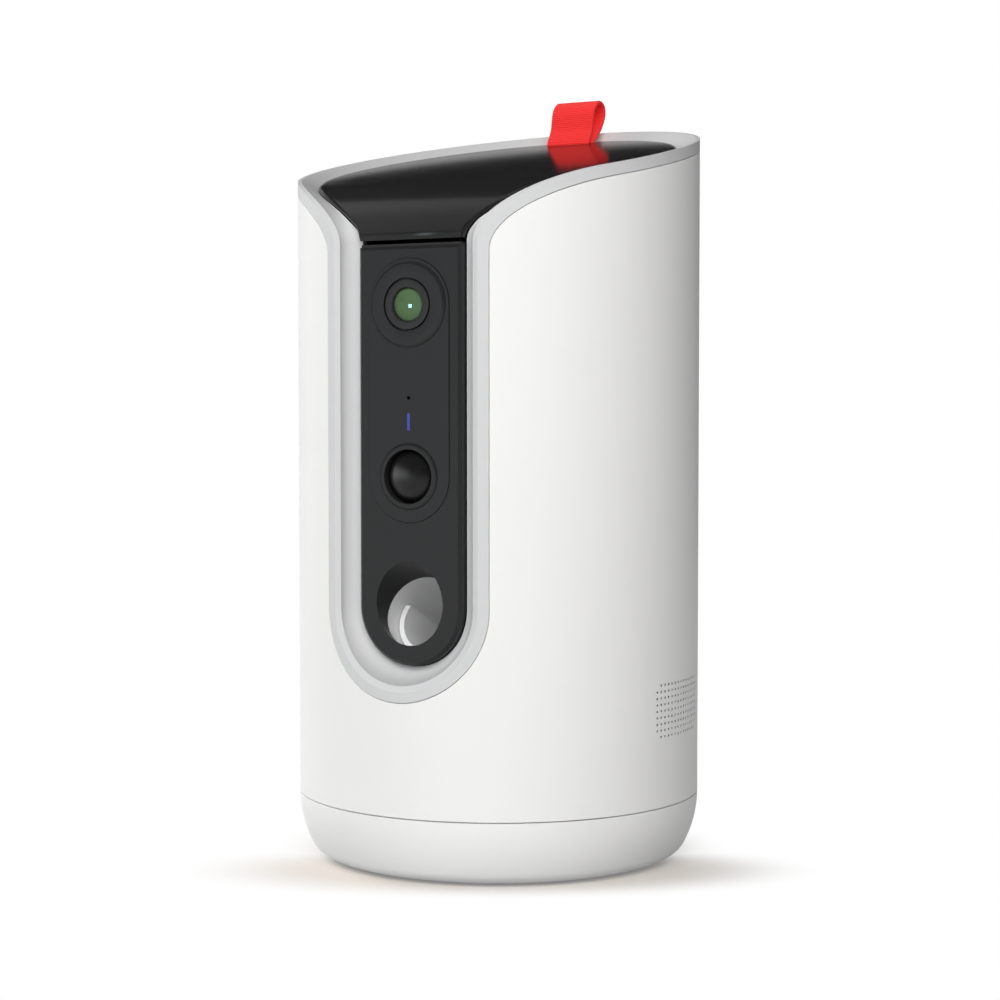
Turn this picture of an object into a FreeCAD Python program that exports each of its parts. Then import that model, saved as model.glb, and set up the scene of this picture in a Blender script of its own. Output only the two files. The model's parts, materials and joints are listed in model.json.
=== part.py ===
import FreeCAD, Part
import math
import os
from FreeCAD import Vector as V

# Treat tossing pet camera. Millimetres, +Z up, the front faces -Y.
# The origin is the centre of the resting face.

# ---- driving dimensions: housing ----
SHELL_R = 59.0
SHELL_WALL = 1.8
PARTING = 0.2
FIT = 0.1
BASE_TOP = 18.9
BASE_WALL = 2.2
BASE_BOTTOM = 0.8
BASE_REACH = 9.0
BASE_FLAT_R = SHELL_R - BASE_REACH
BASE_TOE_R = 6.0
LIP_WALL = 2.0
LIP_HEIGHT = 3.6
LIP_GAP = 0.3

# the slanted top: z = height + SLOPE * y
SLOPE = 0.227
SHELL_TOP = 201.5
CREST_RISE = 3.5
CREST = SHELL_TOP + CREST_RISE

# the slot in the front
SLOT_HALF = 25.8
SLOT_CENTRE_Z = 76.6
BAND = 3.0
CHAMFER = 1.7
CHAMFER_DROP = 1.1
COVE_WIDTH = 9.2
FOOT_HALF = SLOT_HALF - COVE_WIDTH
FOOT_SINK = 10.0
FOOT_DEPTH = SHELL_R - FOOT_SINK
COVE_REACH = 6.0
FOOT_R = SHELL_R - COVE_REACH
COVE_DROP = 3.4
FOOT_TOP = CREST - COVE_DROP
TRIM_WALL = 2.0
TONGUE = 4.0
TONGUE_LAP = 1.7
COVE_STEPS = 4

# the flare where the slot opens into the top
FLARE_HEIGHT = 27.5
FLARE_START = SHELL_TOP - FLARE_HEIGHT
FLARE_RISE = 8.0
FLARE_START_EASE = 0.65
FLARE_RISE_EASE = 0.2
FLARE_INSET = 7.0
FLARE_END = SHELL_R - FLARE_INSET
FLARE_REACH = 16.0
FOOT_FLARE_RAISE = 3.5
FOOT_FLARE_START = FLARE_START + FOOT_FLARE_RAISE
FOOT_FLARE_RISE = 5.5
FOOT_FLARE_INSET = 8.0
FOOT_FLARE_END = FOOT_R - FOOT_FLARE_INSET
FLARE_POINTS = 8
RIM_POINTS = 36
ARC_POINTS = 12

# ---- driving dimensions: front panel's block ----
PANEL_PROUD = 3.0
PANEL_FACE = FOOT_DEPTH + PANEL_PROUD
PANEL_GAP = 0.35
PANEL_HALF = FOOT_HALF - PANEL_GAP
PANEL_DROP = 1.3
PANEL_TOP = FOOT_FLARE_START - PANEL_DROP
PANEL_CHAMFER = 0.9
PANEL_FOOT = FOOT_DEPTH - TRIM_WALL
PANEL_WALL = 2.0

# ---- driving dimensions: lid ----
LID_GAP = 0.35
LID_PROUD = 1.7
LID_TOP = FOOT_TOP + LID_PROUD
LID_WALL = 2.2
LID_SIDE = 2.0
LID_SKIRT = 6.0
CHIN_GAP = 1.2
CHIN_BOTTOM = PANEL_TOP + CHIN_GAP
CHIN_SINK = 0.6
CHIN_FACE = PANEL_FACE - CHIN_SINK
CHIN_PROUD = 1.2
CHIN_R = FOOT_R + CHIN_PROUD
CHIN_CURVE = [(0.0, 3.1), (1.9, 7.4), (4.5, 10.5), (8.4, 14.0)]
CREASE_IN = 12.9
PLUG_WALL = 1.6
PLUG_DEPTH = 9.0
PLUG_GAP = 0.8
SEAL_HEIGHT = 3.0
SEAL_GAP = 0.15
SEAL_DOWN = 1.0

# ---- driving dimensions: ribbon tab ----
TAB_WIDTH = 14.6
TAB_THICK = 0.9
TAB_INSET = 4.7
TAB_Y = FOOT_R - TAB_INSET
TAB_DEPTH = 5.9
TAB_Z = LID_TOP + SLOPE * TAB_Y - TAB_DEPTH
TAB_FRONT = [(0.0, 0.0), (0.1, 4.1), (0.6, 8.6), (1.5, 13.1), (2.9, 17.2)]
TAB_TOP = [(5.5, 19.5), (8.7, 18.5)]
TAB_BACK = [(9.2, 14.4), (6.2, 10.2), (2.9, 7.2), (2.05, 4.1), (2.0, 0.0)]
ANCHOR_HEIGHT = 1.5
ANCHOR_EAR = 1.3

# ---- driving dimensions: front panel ----
WINDOW_EDGE = 3.5
WINDOW_HALF = PANEL_HALF - WINDOW_EDGE
WINDOW_RISE = 23.5
WINDOW_LOW = SLOT_CENTRE_Z + WINDOW_RISE
WINDOW_DROP = 3.3
WINDOW_HIGH = PANEL_TOP - WINDOW_DROP
WINDOW_PROUD = 0.3
WINDOW_THICK = 1.0
LENS_Z = WINDOW_HIGH - WINDOW_HALF
BEZEL_EDGE = 1.0
BEZEL_R = WINDOW_HALF - BEZEL_EDGE
BEZEL_CHAMFER = 0.65
BEZEL_PROUD = 1.2
BEZEL_FACE = PANEL_FACE + BEZEL_PROUD
BEZEL_WIDTH = 4.85
BARREL_R = BEZEL_R - BEZEL_WIDTH
BARREL_WIDTH = 1.9
BARREL_RECESS_R = BARREL_R - BARREL_WIDTH
BARREL_DEPTH = 9.0
BARREL_BACK = PANEL_FACE - BARREL_DEPTH
GLASS_R = BARREL_RECESS_R - FIT
GLASS_CROWN = 1.1
GLASS_PROUD = 0.2
GLASS_RIM = PANEL_FACE + GLASS_PROUD
PIR_Z = WINDOW_LOW + WINDOW_HALF
MIC_RISE = 21.65
MIC_Z = PIR_Z + MIC_RISE
MIC_R = 0.55
LED_RISE = 12.65
LED_LENGTH = 4.85
LED_LOW = PIR_Z + LED_RISE
LED_HIGH = LED_LOW + LED_LENGTH
LED_HALF = 0.45
PIR_EDGE = 3.67
PIR_RING_R = WINDOW_HALF - PIR_EDGE
PIR_WALL = 1.58
PIR_INNER_R = PIR_RING_R - PIR_WALL
PIR_PROUD = 0.9
PIR_FACE = PANEL_FACE + PIR_PROUD
DOME_R = PIR_INNER_R - 2 * FIT
DOME_CROWN = 3.4
DOME_WALL = 1.2
DOME_SINK = 1.2
PIR_CHAMFER = 0.45

# ---- driving dimensions: electronics ----
BOARD_SINK = 12.0
BOARD_Y = PANEL_FACE - BOARD_SINK
BOARD_THICK = 1.6
BOARD_EDGE = 1.75
BOARD_HALF = PANEL_HALF - BOARD_EDGE
BOARD_OVER = 1.1
BOARD_LOW = WINDOW_LOW - BOARD_OVER
BOARD_HIGH = WINDOW_HIGH + FIT
SCREW_R = 1.2
STANDOFF_R = 2.4
BOARD_SCREW = 7.0
BOARD_HEAD_R = 2.1
BOARD_HEAD = 1.3
CHIP_HALF = 6.0
CHIP_DROP = 16.15
CHIP_Z = LENS_Z - CHIP_DROP
CHIP_THICK = 1.2
HOLDER_HALF = 7.5
HOLDER_DEPTH = 6.5
SENSOR_CAN_R = 4.6
SENSOR_CAN_H = 4.2
MIC_BOOT_R = 2.6
MIC_CAN_R = 2.0
MIC_CAN_H = 1.5
LED_CHIP = 1.4

# ---- driving dimensions: launcher ----
TILT = 25.0
MOUTH_EDGE = 5.7
MOUTH_R = PANEL_HALF - MOUTH_EDGE
MOUTH_RISE = 0.85
MOUTH_Z = SLOT_CENTRE_Z + MOUTH_RISE
MOUTH_SINK = 0.5
MOUTH_Y = PANEL_FACE - MOUTH_SINK
TUBE_WALL = 1.65
COLLAR_END = 6.5
STROKE = 24.0
PUSHER = 2.0
SCOOP_BACK = 46.0
TUBE_END = SCOOP_BACK + STROKE + 2 * PUSHER
DROP_START = 24.5
DROP_END = 43.0
DROP_SIDE = 1.15
DROP_HALF = MOUTH_R - DROP_SIDE
RACK_SLOT_HALF = 3.6
SLOT_START = 14.0
SCOOP_GAP = 0.3
SCOOP_R = MOUTH_R - SCOOP_GAP
SCOOP_WALL = 1.5
SCOOP_FRONT = 12.9
SCOOP_RISE = 4.0
GUIDE_R = 2.0
GUIDE_END = 78.0
GUIDE_GAP = 0.05
GUIDE_WEB = 5.0
RACK_HALF = 2.8
RACK_START = 18.0
RACK_END = 1.0
RACK_MODULE = 1.0
RACK_DEPTH = 4.75
RACK_PITCH_DEPTH = SCOOP_R + RACK_DEPTH
DEDENDUM = 1.25
PRESSURE_ANGLE = 20.0
ROOT_EASE = 0.94
TIP_EASE = 1.15
SECTOR_TEETH = 18
SECTOR_MISSING = 8
WHEEL_MODULE = 0.8
WHEEL_TEETH = 30
PINION_TEETH = 12
GEAR_S = 45.0
GEAR_FACE = 5.6
CHEEK_WALL = 2.0
CHEEK_LEFT_INSET = 1.55
CHEEK_LEFT = CHEEK_LEFT_INSET - MOUTH_R
CHEEK_RIGHT_INSET = 0.05
CHEEK_RIGHT = MOUTH_R - CHEEK_RIGHT_INSET
WHEEL_INSET = 4.5
WHEEL_SIDE = CHEEK_RIGHT - WHEEL_INSET
WHEEL_FACE = 3.5
AXLE_R = 1.5
GEAR_HUB_R = 3.5
END_PLAY = 0.3
RUN_GAP = 0.06
BACKLASH = 0.16
MOTOR_R = 10.0
MOTOR_FLAT = 7.5
MOTOR_LENGTH = 25.0
MOTOR_BELOW = 5.0
MOTOR_SHAFT_R = 1.0
SHAFT_REACH = 4.0
MOTOR_NOSE_R = 3.0
MOTOR_CAP = 1.5
CHEEK_OUTLINE = [(30.0, 0.0), (70.0, 0.0), (76.0, -14.0), (76.0, -60.0),
                 (62.0, -75.0), (44.0, -68.0), (36.0, -50.0), (32.0, -30.0)]
SPRING_R = 6.0
SPRING_WIRE = 0.5
SPRING_TURNS = 5
WIRE_SIDES = 6

# ---- driving dimensions: dispenser ----
FLOOR_Z = 10.0
FLOOR_THICK = 2.0
FLOOR_GAP = 7.2
FLOOR_R = SHELL_R - SHELL_WALL - FLOOR_GAP
WHEEL_Y = 5.0
WELL_DROP = 4.0
WELL_FLOOR = MOUTH_Z + MOUTH_R - WELL_DROP
WELL_INSET = 18.5
WELL_R = FOOT_R - WELL_INSET
WELL_WALL = 2.0
WELL_HEIGHT = 18.0
STAR_SIDE = 0.5
STAR_R = WELL_R - STAR_SIDE
STAR_HEIGHT = 15.0
STAR_GAP = 0.4
POCKETS = 6
PADDLE = 2.6
DROP_EDGE = 11.5
DROP_CIRCLE = WELL_R - DROP_EDGE
HUB_R = 9.0
STIRRER_R = 12.5
STIRRER_HEIGHT = 6.0
CHUTE_R = DROP_HALF - 2 * FIT
CHUTE_WALL = 1.4
SHAFT_R = 2.5
SHAFT_DEPTH = 8.4
SHAFT_BORE = 9.1
HOPPER_GAP = 2.5
HOPPER_R = FOOT_R - HOPPER_GAP
HOPPER_WALL = 1.8
BOARD_ROOM = 9.0
HOPPER_FRONT = BOARD_Y - BOARD_ROOM
SHOULDER_RISE = 40.0
HOPPER_SHOULDER = WELL_FLOOR + SHOULDER_RISE
HOPPER_DROP = 8.3
HOPPER_TOP = LID_TOP - HOPPER_DROP
POST_R = 3.5
POSTS = [(-27.0, -12.0), (31.0, 12.0), (-20.0, 30.0), (20.0, 30.0)]
GEARBOX = (24.0, 20.0, 14.0)
GEARBOX_GAP = 3.9
DISPENSER_CAN_R = 6.0
DISPENSER_CAN_LENGTH = 15.0

# ---- driving dimensions: back and base ----
INLET_Z = 30.0
INLET_WIDTH = 9.0
INLET_HEIGHT = 3.3
INLET_DEPTH = 7.4
INLET_LIP = 1.6
INLET_WALL = 0.35
INLET_BACK = 1.5
TONGUE_HALF = 2.5
INLET_X = -6.0
BUTTON_X = 8.0
BUTTON_R = 1.9
BUTTON_FLANGE_R = 2.8
BUTTON_TRAVEL = 0.8
BUTTON_PROUD = 0.3
SWITCH_HALF = 3.0
POWER_BOARD_INSET = 10.4
POWER_BOARD_Y = SHELL_R - POWER_BOARD_INSET
POWER_BOARD_HALF = 16.0
POWER_BOARD_RISE = 8.0
SPEAKER_Z = 46.6
SPEAKER_R = 14.0
SPEAKER_INSET = 13.0
SPEAKER_X = SHELL_R - SPEAKER_INSET
SPEAKER_DEPTH = 7.0
SPEAKER_FLANGE = 2.2
FLANGE_THICK = 1.2
MAGNET_R = 6.0
MAGNET_DEPTH = 3.0
CONE_CAP_R = 4.0
CONE_THICK = 0.5
BRACKET_WALL = 2.0
BRACKET_FOOT = 8.0
FOOT_RING_EDGE = 3.0
FOOT_RING_R = BASE_FLAT_R - FOOT_RING_EDGE
FOOT_RING_WIDTH = 6.0
FOOT_RING_INNER = FOOT_RING_R - FOOT_RING_WIDTH
FOOT_RING_HEIGHT = 2.0
BOSS_R = 4.0
BOSS_INSET = 8.0
BOSS_CIRCLE = FOOT_RING_INNER - BOSS_INSET
BASE_SCREWS = 4
HEAD_R = 2.8
HEAD_HEIGHT = 1.8
BALLAST_THICK = 3.0

# ---- worked out from the driving dimensions ----
FLAT_INNER_R = SHELL_R - SHELL_WALL
BIG = 300.0
PANEL_BACK = PANEL_FACE - PANEL_WALL
TUBE_R = MOUTH_R + TUBE_WALL
SECTOR_R = RACK_MODULE * SECTOR_TEETH / 2
WHEEL_R = WHEEL_MODULE * WHEEL_TEETH / 2
PINION_R = WHEEL_MODULE * PINION_TEETH / 2
GEAR_DEPTH = RACK_PITCH_DEPTH + SECTOR_R
CENTRES = WHEEL_R + PINION_R
MOTOR_DEPTH = GEAR_DEPTH + MOTOR_BELOW
MOTOR_S = GEAR_S + math.sqrt(CENTRES ** 2 - MOTOR_BELOW ** 2)
LID_R = FOOT_R - LID_GAP


# ---- small helpers ----
def box(low, high):
    size = V(*high).sub(V(*low))
    return Part.makeBox(size.x, size.y, size.z, V(*low))


def rod(radius, start, end):
    along = V(*end).sub(V(*start))
    return Part.makeCylinder(radius, along.Length, V(*start), along)


def pipe(outer, inner, start, end):
    return rod(outer, start, end).cut(rod(inner, start, end))


def prism(points, along):
    corners = [V(*p) for p in points]
    return Part.Face(Part.makePolygon(corners + corners[:1])).extrude(V(*along))


def curve(points, start=None, end=None, parameters=None):
    options = {"Points": [V(*p) for p in points]}
    if parameters:
        options["Parameters"] = parameters
    if start:
        options["InitialTangent"] = V(*start)
        options["FinalTangent"] = V(*end)
    line = Part.BSplineCurve()
    line.interpolate(**options)
    return line.toShape()


def line(start, end):
    return Part.makeLine(V(*start), V(*end))


def spun(edges):
    return Part.Face(Part.Wire(edges)).revolve(V(0, 0, 0), V(0, 0, 1), 360)


def turned(points):
    corners = [V(r, 0, z) for r, z in points]
    return Part.Face(Part.makePolygon(corners + corners[:1])).revolve(V(0, 0, 0), V(0, 0, 1), 360)


def slanted_block(height, above=True):
    """All that lies above (or below) the plane z = height + SLOPE * y."""
    far = BIG if above else -BIG
    low, high = height - SLOPE * BIG, height + SLOPE * BIG
    side = [(-BIG, -BIG, low), (-BIG, BIG, high), (-BIG, BIG, high + far), (-BIG, -BIG, low + far)]
    return prism(side, (2 * BIG, 0, 0))


def one(shape):
    return shape.removeSplitter()


# ---- the opening of the housing: slot, flare and slanted rim as one family of loops ----
def slope_at(x, radius):
    """How steeply the slanted top climbs, seen from the front, on a cylinder."""
    return SLOPE * x / math.sqrt(radius ** 2 - x ** 2)


def flare_controls(inset, height, radius, foot=0.0):
    """Bezier controls, seen from the front, from the slot's straight side to the slanted top."""
    def mix(near, far):
        return near + (far - near) * foot
    half = SLOT_HALF - inset
    start = mix(FLARE_START + inset * FLARE_START_EASE, FOOT_FLARE_START)
    rise = mix(FLARE_RISE - inset * FLARE_RISE_EASE, FOOT_FLARE_RISE)
    end_x = mix(FLARE_END - inset * 0.5, FOOT_FLARE_END)
    reach = mix(FLARE_REACH, FLARE_REACH - 1.0)
    end_z = height - SLOPE * math.sqrt(radius ** 2 - end_x ** 2)
    near_z = end_z - reach * slope_at(end_x, radius)
    return [(half, start), (half, start + rise), (end_x - reach, near_z), (end_x, end_z)]


def bezier(controls, t):
    weights = ((1 - t) ** 3, 3 * t * (1 - t) ** 2, 3 * t * t * (1 - t), t ** 3)
    return tuple(sum(w * p[i] for w, p in zip(weights, controls)) for i in (0, 1))


def front_y(x, radius, sink, deeper=0.0):
    """Depth of a loop at x: from the outer cylinder (sink 0) to the foot behind it (sink 1)."""
    outer = -math.sqrt(radius ** 2 - x ** 2)
    if not sink:
        return outer
    inner = max(deeper - FOOT_DEPTH, -math.sqrt(FOOT_R ** 2 - x ** 2))
    return outer + (inner - outer) * sink


def loop_points(inset, height, radius, sink=0.0, deeper=0.0):
    """One closed loop round the opening, as three point lists: slot end, and the long upper run."""
    half = SLOT_HALF - inset
    controls = flare_controls(inset, height, radius + (FOOT_R - radius) * sink, sink)
    bottom = []
    for i in range(ARC_POINTS + 1):
        a = math.pi * i / ARC_POINTS
        x = -half * math.cos(a)
        bottom.append((x, front_y(x, radius, sink, deeper), SLOT_CENTRE_Z - half * math.sin(a)))
    flare = []
    for i in range(FLARE_POINTS + 1):
        x, z = bezier(controls, i / FLARE_POINTS)
        flare.append((x, front_y(x, radius, sink, deeper), z))
    end = flare[-1]
    turn = math.atan2(end[0], -end[1])
    plan_r = math.hypot(end[0], end[1])
    rim = []
    for i in range(1, RIM_POINTS):
        a = turn + (2 * math.pi - 2 * turn) * i / RIM_POINTS
        y = -plan_r * math.cos(a)
        rim.append((plan_r * math.sin(a), y, height + SLOPE * y))
    mirrored = [(-x, y, z) for x, y, z in reversed(flare)]
    return bottom, flare + rim + mirrored


def chord_parameters(points):
    total = [0.0]
    for a, b in zip(points, points[1:]):
        total.append(total[-1] + V(*a).distanceToPoint(V(*b)))
    return [t / total[-1] for t in total]


def loop_edges(points, reference):
    bottom, upper = points
    low = curve(bottom, parameters=chord_parameters(reference[0]))
    top = curve(upper, parameters=chord_parameters(reference[1]))
    return [low, line(bottom[-1], upper[0]), top, line(upper[-1], bottom[0])]


def rim_trim():
    """Light grey frame: a closed ring whose section is band, chamfer, cove, foot and tongue."""
    band_in, cham_in = BAND, BAND + CHAMFER
    foot_in = SLOT_HALF - FOOT_HALF
    cham_r = SHELL_R - CHAMFER_DROP
    lap_r = FLAT_INNER_R - PARTING
    loops = [loop_points(PARTING, SHELL_TOP + PARTING, SHELL_R), loop_points(band_in, CREST, SHELL_R)]
    for i in range(COVE_STEPS + 1):
        a = math.pi / 2 * i / COVE_STEPS
        inset = foot_in + (cham_in - foot_in) * math.cos(a)
        height = CREST + (FOOT_TOP - CREST) * math.sin(a)
        loops.append(loop_points(inset, height, cham_r, math.sin(a)))
    loops.append(loop_points(foot_in, FOOT_TOP - TRIM_WALL, cham_r, 1.0, TRIM_WALL))
    loops.append(loop_points(-TONGUE_LAP, SHELL_TOP - TONGUE, lap_r - TRIM_WALL))
    loops.append(loop_points(-TONGUE_LAP, SHELL_TOP - TONGUE, lap_r))
    loops.append(loop_points(PARTING, SHELL_TOP + PARTING, lap_r))
    rings = [loop_edges(p, loops[1]) for p in loops]
    faces = []
    for ring, following in zip(rings, rings[1:] + rings[:1]):
        faces += [Part.makeRuledSurface(a, b) for a, b in zip(ring, following)]
    shell = Part.makeShell(faces)
    shell.sewShape()
    solid = Part.Solid(shell)
    if solid.Volume < 0:
        solid.reverse()
    return solid


def front_opening(inset, height, radius, foot=0.0, low=None):
    """Block that cuts the slot and its flare through the front, as seen along Y."""
    half = SLOT_HALF - inset
    controls = flare_controls(inset, height, radius, foot)
    right = Part.BezierCurve()
    right.setPoles([V(x, -BIG, z) for x, z in controls])
    left = Part.BezierCurve()
    left.setPoles([V(-x, -BIG, z) for x, z in reversed(controls)])
    start, end = controls[0], controls[-1]
    top = end[1] + FLARE_END
    edges = [right.toShape(),
             line((end[0], -BIG, end[1]), (end[0], -BIG, top)),
             line((end[0], -BIG, top), (-end[0], -BIG, top)),
             line((-end[0], -BIG, top), (-end[0], -BIG, end[1])),
             left.toShape()]
    if low is None:
        a, b = (-half, -BIG, SLOT_CENTRE_Z), (half, -BIG, SLOT_CENTRE_Z)
        arc = Part.Arc(V(*a), V(0, -BIG, SLOT_CENTRE_Z - half), V(*b)).toShape()
        edges += [line((-half, -BIG, start[1]), a), arc, line(b, (half, -BIG, start[1]))]
    else:
        a, b = (-half, -BIG, low), (half, -BIG, low)
        edges += [line((-half, -BIG, start[1]), a), line(a, b), line(b, (half, -BIG, start[1]))]
    return Part.Face(Part.Wire(Part.__sortEdges__(edges))).extrude(V(0, BIG, 0))


# ---- housing ----
def inlet_bar(grow, start, end):
    """Round-ended bar along Y in the shape of the power inlet, grown or shrunk all round."""
    r = INLET_HEIGHT / 2
    centres = (INLET_X - INLET_WIDTH / 2 + r, INLET_X + INLET_WIDTH / 2 - r)
    bar = box((centres[0], start, INLET_Z - r - grow), (centres[1], end, INLET_Z + r + grow))
    for x in centres:
        bar = bar.fuse(rod(r + grow, (x, start, INLET_Z), (x, end, INLET_Z)))
    return one(bar)


def outer_shell():
    tube = pipe(SHELL_R, FLAT_INNER_R, (0, 0, BASE_TOP + PARTING), (0, 0, CREST + SHELL_R))
    tube = tube.cut(slanted_block(SHELL_TOP)).cut(front_opening(0, SHELL_TOP, SHELL_R))
    inlet = inlet_bar(PARTING, 0, BIG)
    button = rod(BUTTON_R + PARTING, (BUTTON_X, 0, INLET_Z), (BUTTON_X, BIG, INLET_Z))
    return tube.cut(inlet).cut(button)


def bowl_section(inset):
    """Points down the bowl: a wide arc from the parting line, then a tight one to the flat bottom."""
    reach, rise = SHELL_R - BASE_FLAT_R, BASE_TOP - BASE_BOTTOM
    side_r = (reach ** 2 + rise ** 2 - 2 * rise * BASE_TOE_R) / (2 * (reach - BASE_TOE_R))
    turn = math.atan2(rise - BASE_TOE_R, side_r - reach)

    def at(centre_r, centre_z, radius, angle):
        r = radius - inset
        return V(centre_r + r * math.cos(angle), 0, centre_z - r * math.sin(angle))
    side = [at(SHELL_R - side_r, BASE_TOP, side_r, turn * i / 2) for i in range(3)]
    toe_turns = (turn, (turn + math.pi / 2) / 2, math.pi / 2)
    return side, [at(BASE_FLAT_R, BASE_BOTTOM + BASE_TOE_R, BASE_TOE_R, a) for a in toe_turns]


def base_bowl():
    side, toe = bowl_section(0)
    edges = [Part.Arc(*side).toShape(), Part.Arc(*toe).toShape(),
             line(toe[-1], (0, 0, toe[-1].z)), line((0, 0, toe[-1].z), (0, 0, BASE_TOP)),
             line((0, 0, BASE_TOP), side[0])]
    return spun(edges)


def base_cavity():
    side, toe = bowl_section(BASE_WALL)
    corners = [(p.x, p.z) for p in (side[0], toe[0], toe[1], toe[2])]
    return turned(corners + [(0, toe[2].z), (0, BASE_TOP)])


def boss_places():
    for i in range(BASE_SCREWS):
        a = 2 * math.pi * (i + 0.5) / BASE_SCREWS
        yield BOSS_CIRCLE * math.cos(a), BOSS_CIRCLE * math.sin(a)


def base_cup():
    lip_r = FLAT_INNER_R - LIP_GAP
    cup = base_bowl().cut(base_cavity())
    lip = pipe(lip_r, lip_r - LIP_WALL, (0, 0, BASE_TOP - LIP_HEIGHT), (0, 0, BASE_TOP + LIP_HEIGHT))
    shelf = pipe(SHELL_R - BASE_WALL, lip_r - LIP_WALL, (0, 0, BASE_TOP - LIP_HEIGHT), (0, 0, BASE_TOP))
    cup = cup.fuse(lip).fuse(shelf.common(base_bowl()))
    for x, y in boss_places():
        cup = cup.fuse(rod(BOSS_R, (x, y, BASE_BOTTOM), (x, y, FLOOR_Z)))
    groove = pipe(FOOT_RING_R, FOOT_RING_INNER, (0, 0, 0), (0, 0, FOOT_RING_HEIGHT))
    cup = cup.cut(groove)
    for x, y in boss_places():
        cup = cup.cut(rod(SCREW_R + FIT, (x, y, 0), (x, y, FLOOR_Z)))
        cup = cup.cut(rod(HEAD_R + FIT, (x, y, 0), (x, y, BASE_BOTTOM + 2 * HEAD_HEIGHT)))
    return one(cup)


def foot_ring():
    return pipe(FOOT_RING_R, FOOT_RING_INNER, (0, 0, 0), (0, 0, FOOT_RING_HEIGHT))


def screw(place, down, length, head_r, head_h):
    """A pan head screw whose head stands on `place` and whose shank runs `length` the other way."""
    at, out = V(*place), V(*down)
    head = Part.makeCylinder(head_r, head_h, at, out)
    shank = Part.makeCylinder(SCREW_R, length, at, out.multiply(-1))
    return head.fuse(shank)


def base_screws():
    seat = BASE_BOTTOM + 2 * HEAD_HEIGHT
    reach = FLOOR_Z + FLOOR_THICK - seat
    return Part.makeCompound([screw((x, y, seat), (0, 0, -1), reach, HEAD_R, HEAD_HEIGHT)
                              for x, y in boss_places()])


def ballast_plate():
    low = BASE_BOTTOM + BASE_WALL
    plate = rod(BASE_FLAT_R - 2 * BOSS_R, (0, 0, low), (0, 0, low + BALLAST_THICK))
    for x, y in boss_places():
        plate = plate.cut(rod(BOSS_R + FIT, (x, y, 0), (x, y, BASE_TOP)))
    return plate


def inner_frame():
    """Floor, upright front plate and deck in one moulding: it carries panel, launcher and wheel well."""
    front, back = -PANEL_FOOT, TRIM_WALL - PANEL_FOOT
    half = FOOT_HALF + TRIM_WALL
    floor = rod(FLOOR_R, (0, 0, FLOOR_Z), (0, 0, FLOOR_Z + FLOOR_THICK))
    plate = box((-half, front, FLOOR_Z + FLOOR_THICK), (half, back, PANEL_TOP))
    deck = box((-half, back, PANEL_TOP - TRIM_WALL), (half, -HOPPER_FRONT - FIT, PANEL_TOP))
    opening = box((-BOARD_HALF - FIT, -BIG, BOARD_LOW - 1), (BOARD_HALF + FIT, back, BOARD_HIGH + FIT))
    mouth = tilted(rod(TUBE_R + FIT, (0, -TUBE_END, 0), (0, TUBE_END / 2, 0)))
    frame = floor.fuse(plate).fuse(deck)
    for x, y in POSTS:
        frame = frame.fuse(rod(POST_R, (x, y, FLOOR_Z), (x, y, WELL_FLOOR)))
    for x, y in boss_places():
        frame = frame.cut(rod(SCREW_R, (x, y, FLOOR_Z), (x, y, FLOOR_Z + FLOOR_THICK)))
    return one(frame.cut(opening).cut(mouth))


# ---- front panel ----
def racetrack(half, low, high, front, back):
    """Upright block with round ends, between two depths in front of the axis."""
    depth = front - back
    bar = box((-half, -front, low + half), (half, -back, high - half))
    ends = [rod(half, (0, -front, z), (0, -front + depth, z)) for z in (low + half, high - half)]
    return one(bar.fuse(ends[0]).fuse(ends[1]))


def panel_block(half, front, back, top):
    low = SLOT_CENTRE_Z
    bar = box((-half, -front, low), (half, -back, top))
    end = rod(half, (0, -front, low), (0, -back, low))
    return one(bar.fuse(end))


def is_at_y(edge, y):
    return all(abs(v.Y - y) < 1e-4 for v in edge.Vertexes)


def tilted(shape):
    """From the launcher's own frame (+Y back along the tube, +Z up) to its place in the camera."""
    shape = shape.copy()
    shape.rotate(V(0, 0, 0), V(1, 0, 0), -TILT)
    shape.translate(V(0, -MOUTH_Y, MOUTH_Z))
    return shape


def board_screw_places():
    inset = STANDOFF_R + FIT
    for x in (-BOARD_HALF + inset, BOARD_HALF - inset):
        for z in (BOARD_LOW + inset, BOARD_HIGH - inset):
            yield x, z


def front_panel():
    block = panel_block(PANEL_HALF, PANEL_FACE, PANEL_FOOT, PANEL_TOP)
    rim = [e for e in block.Edges if is_at_y(e, -PANEL_FACE)]
    block = block.makeChamfer(PANEL_CHAMFER, rim)
    hollow = panel_block(PANEL_HALF - PANEL_WALL, PANEL_BACK, PANEL_FOOT, PANEL_TOP - PANEL_WALL)
    panel = block.cut(hollow)
    for x, z in board_screw_places():
        panel = panel.fuse(rod(STANDOFF_R, (x, -PANEL_BACK, z), (x, -BOARD_Y, z)))
        panel = panel.cut(rod(SCREW_R, (x, -PANEL_BACK, z), (x, -BOARD_Y, z)))
    sleeve = tilted(rod(TUBE_R, (0, -MOUTH_R, 0), (0, COLLAR_END, 0)))
    sleeve = sleeve.common(box((-BIG, -PANEL_BACK, 0), (BIG, 0, PANEL_TOP)))
    panel = panel.fuse(sleeve)
    panel = panel.cut(tilted(rod(MOUTH_R, (0, -MOUTH_R, 0), (0, TUBE_END, 0))))
    panel = panel.cut(tilted(rod(TUBE_R + FIT, (0, COLLAR_END, 0), (0, TUBE_END, 0))))
    seat = racetrack(WINDOW_HALF + FIT, WINDOW_LOW - FIT, WINDOW_HIGH + FIT, PANEL_FACE + 1,
                     PANEL_FACE + WINDOW_PROUD - WINDOW_THICK)
    panel = panel.cut(seat)
    for cutter in face_holes(PANEL_BACK - 1):
        panel = panel.cut(cutter)
    return one(panel)


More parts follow.
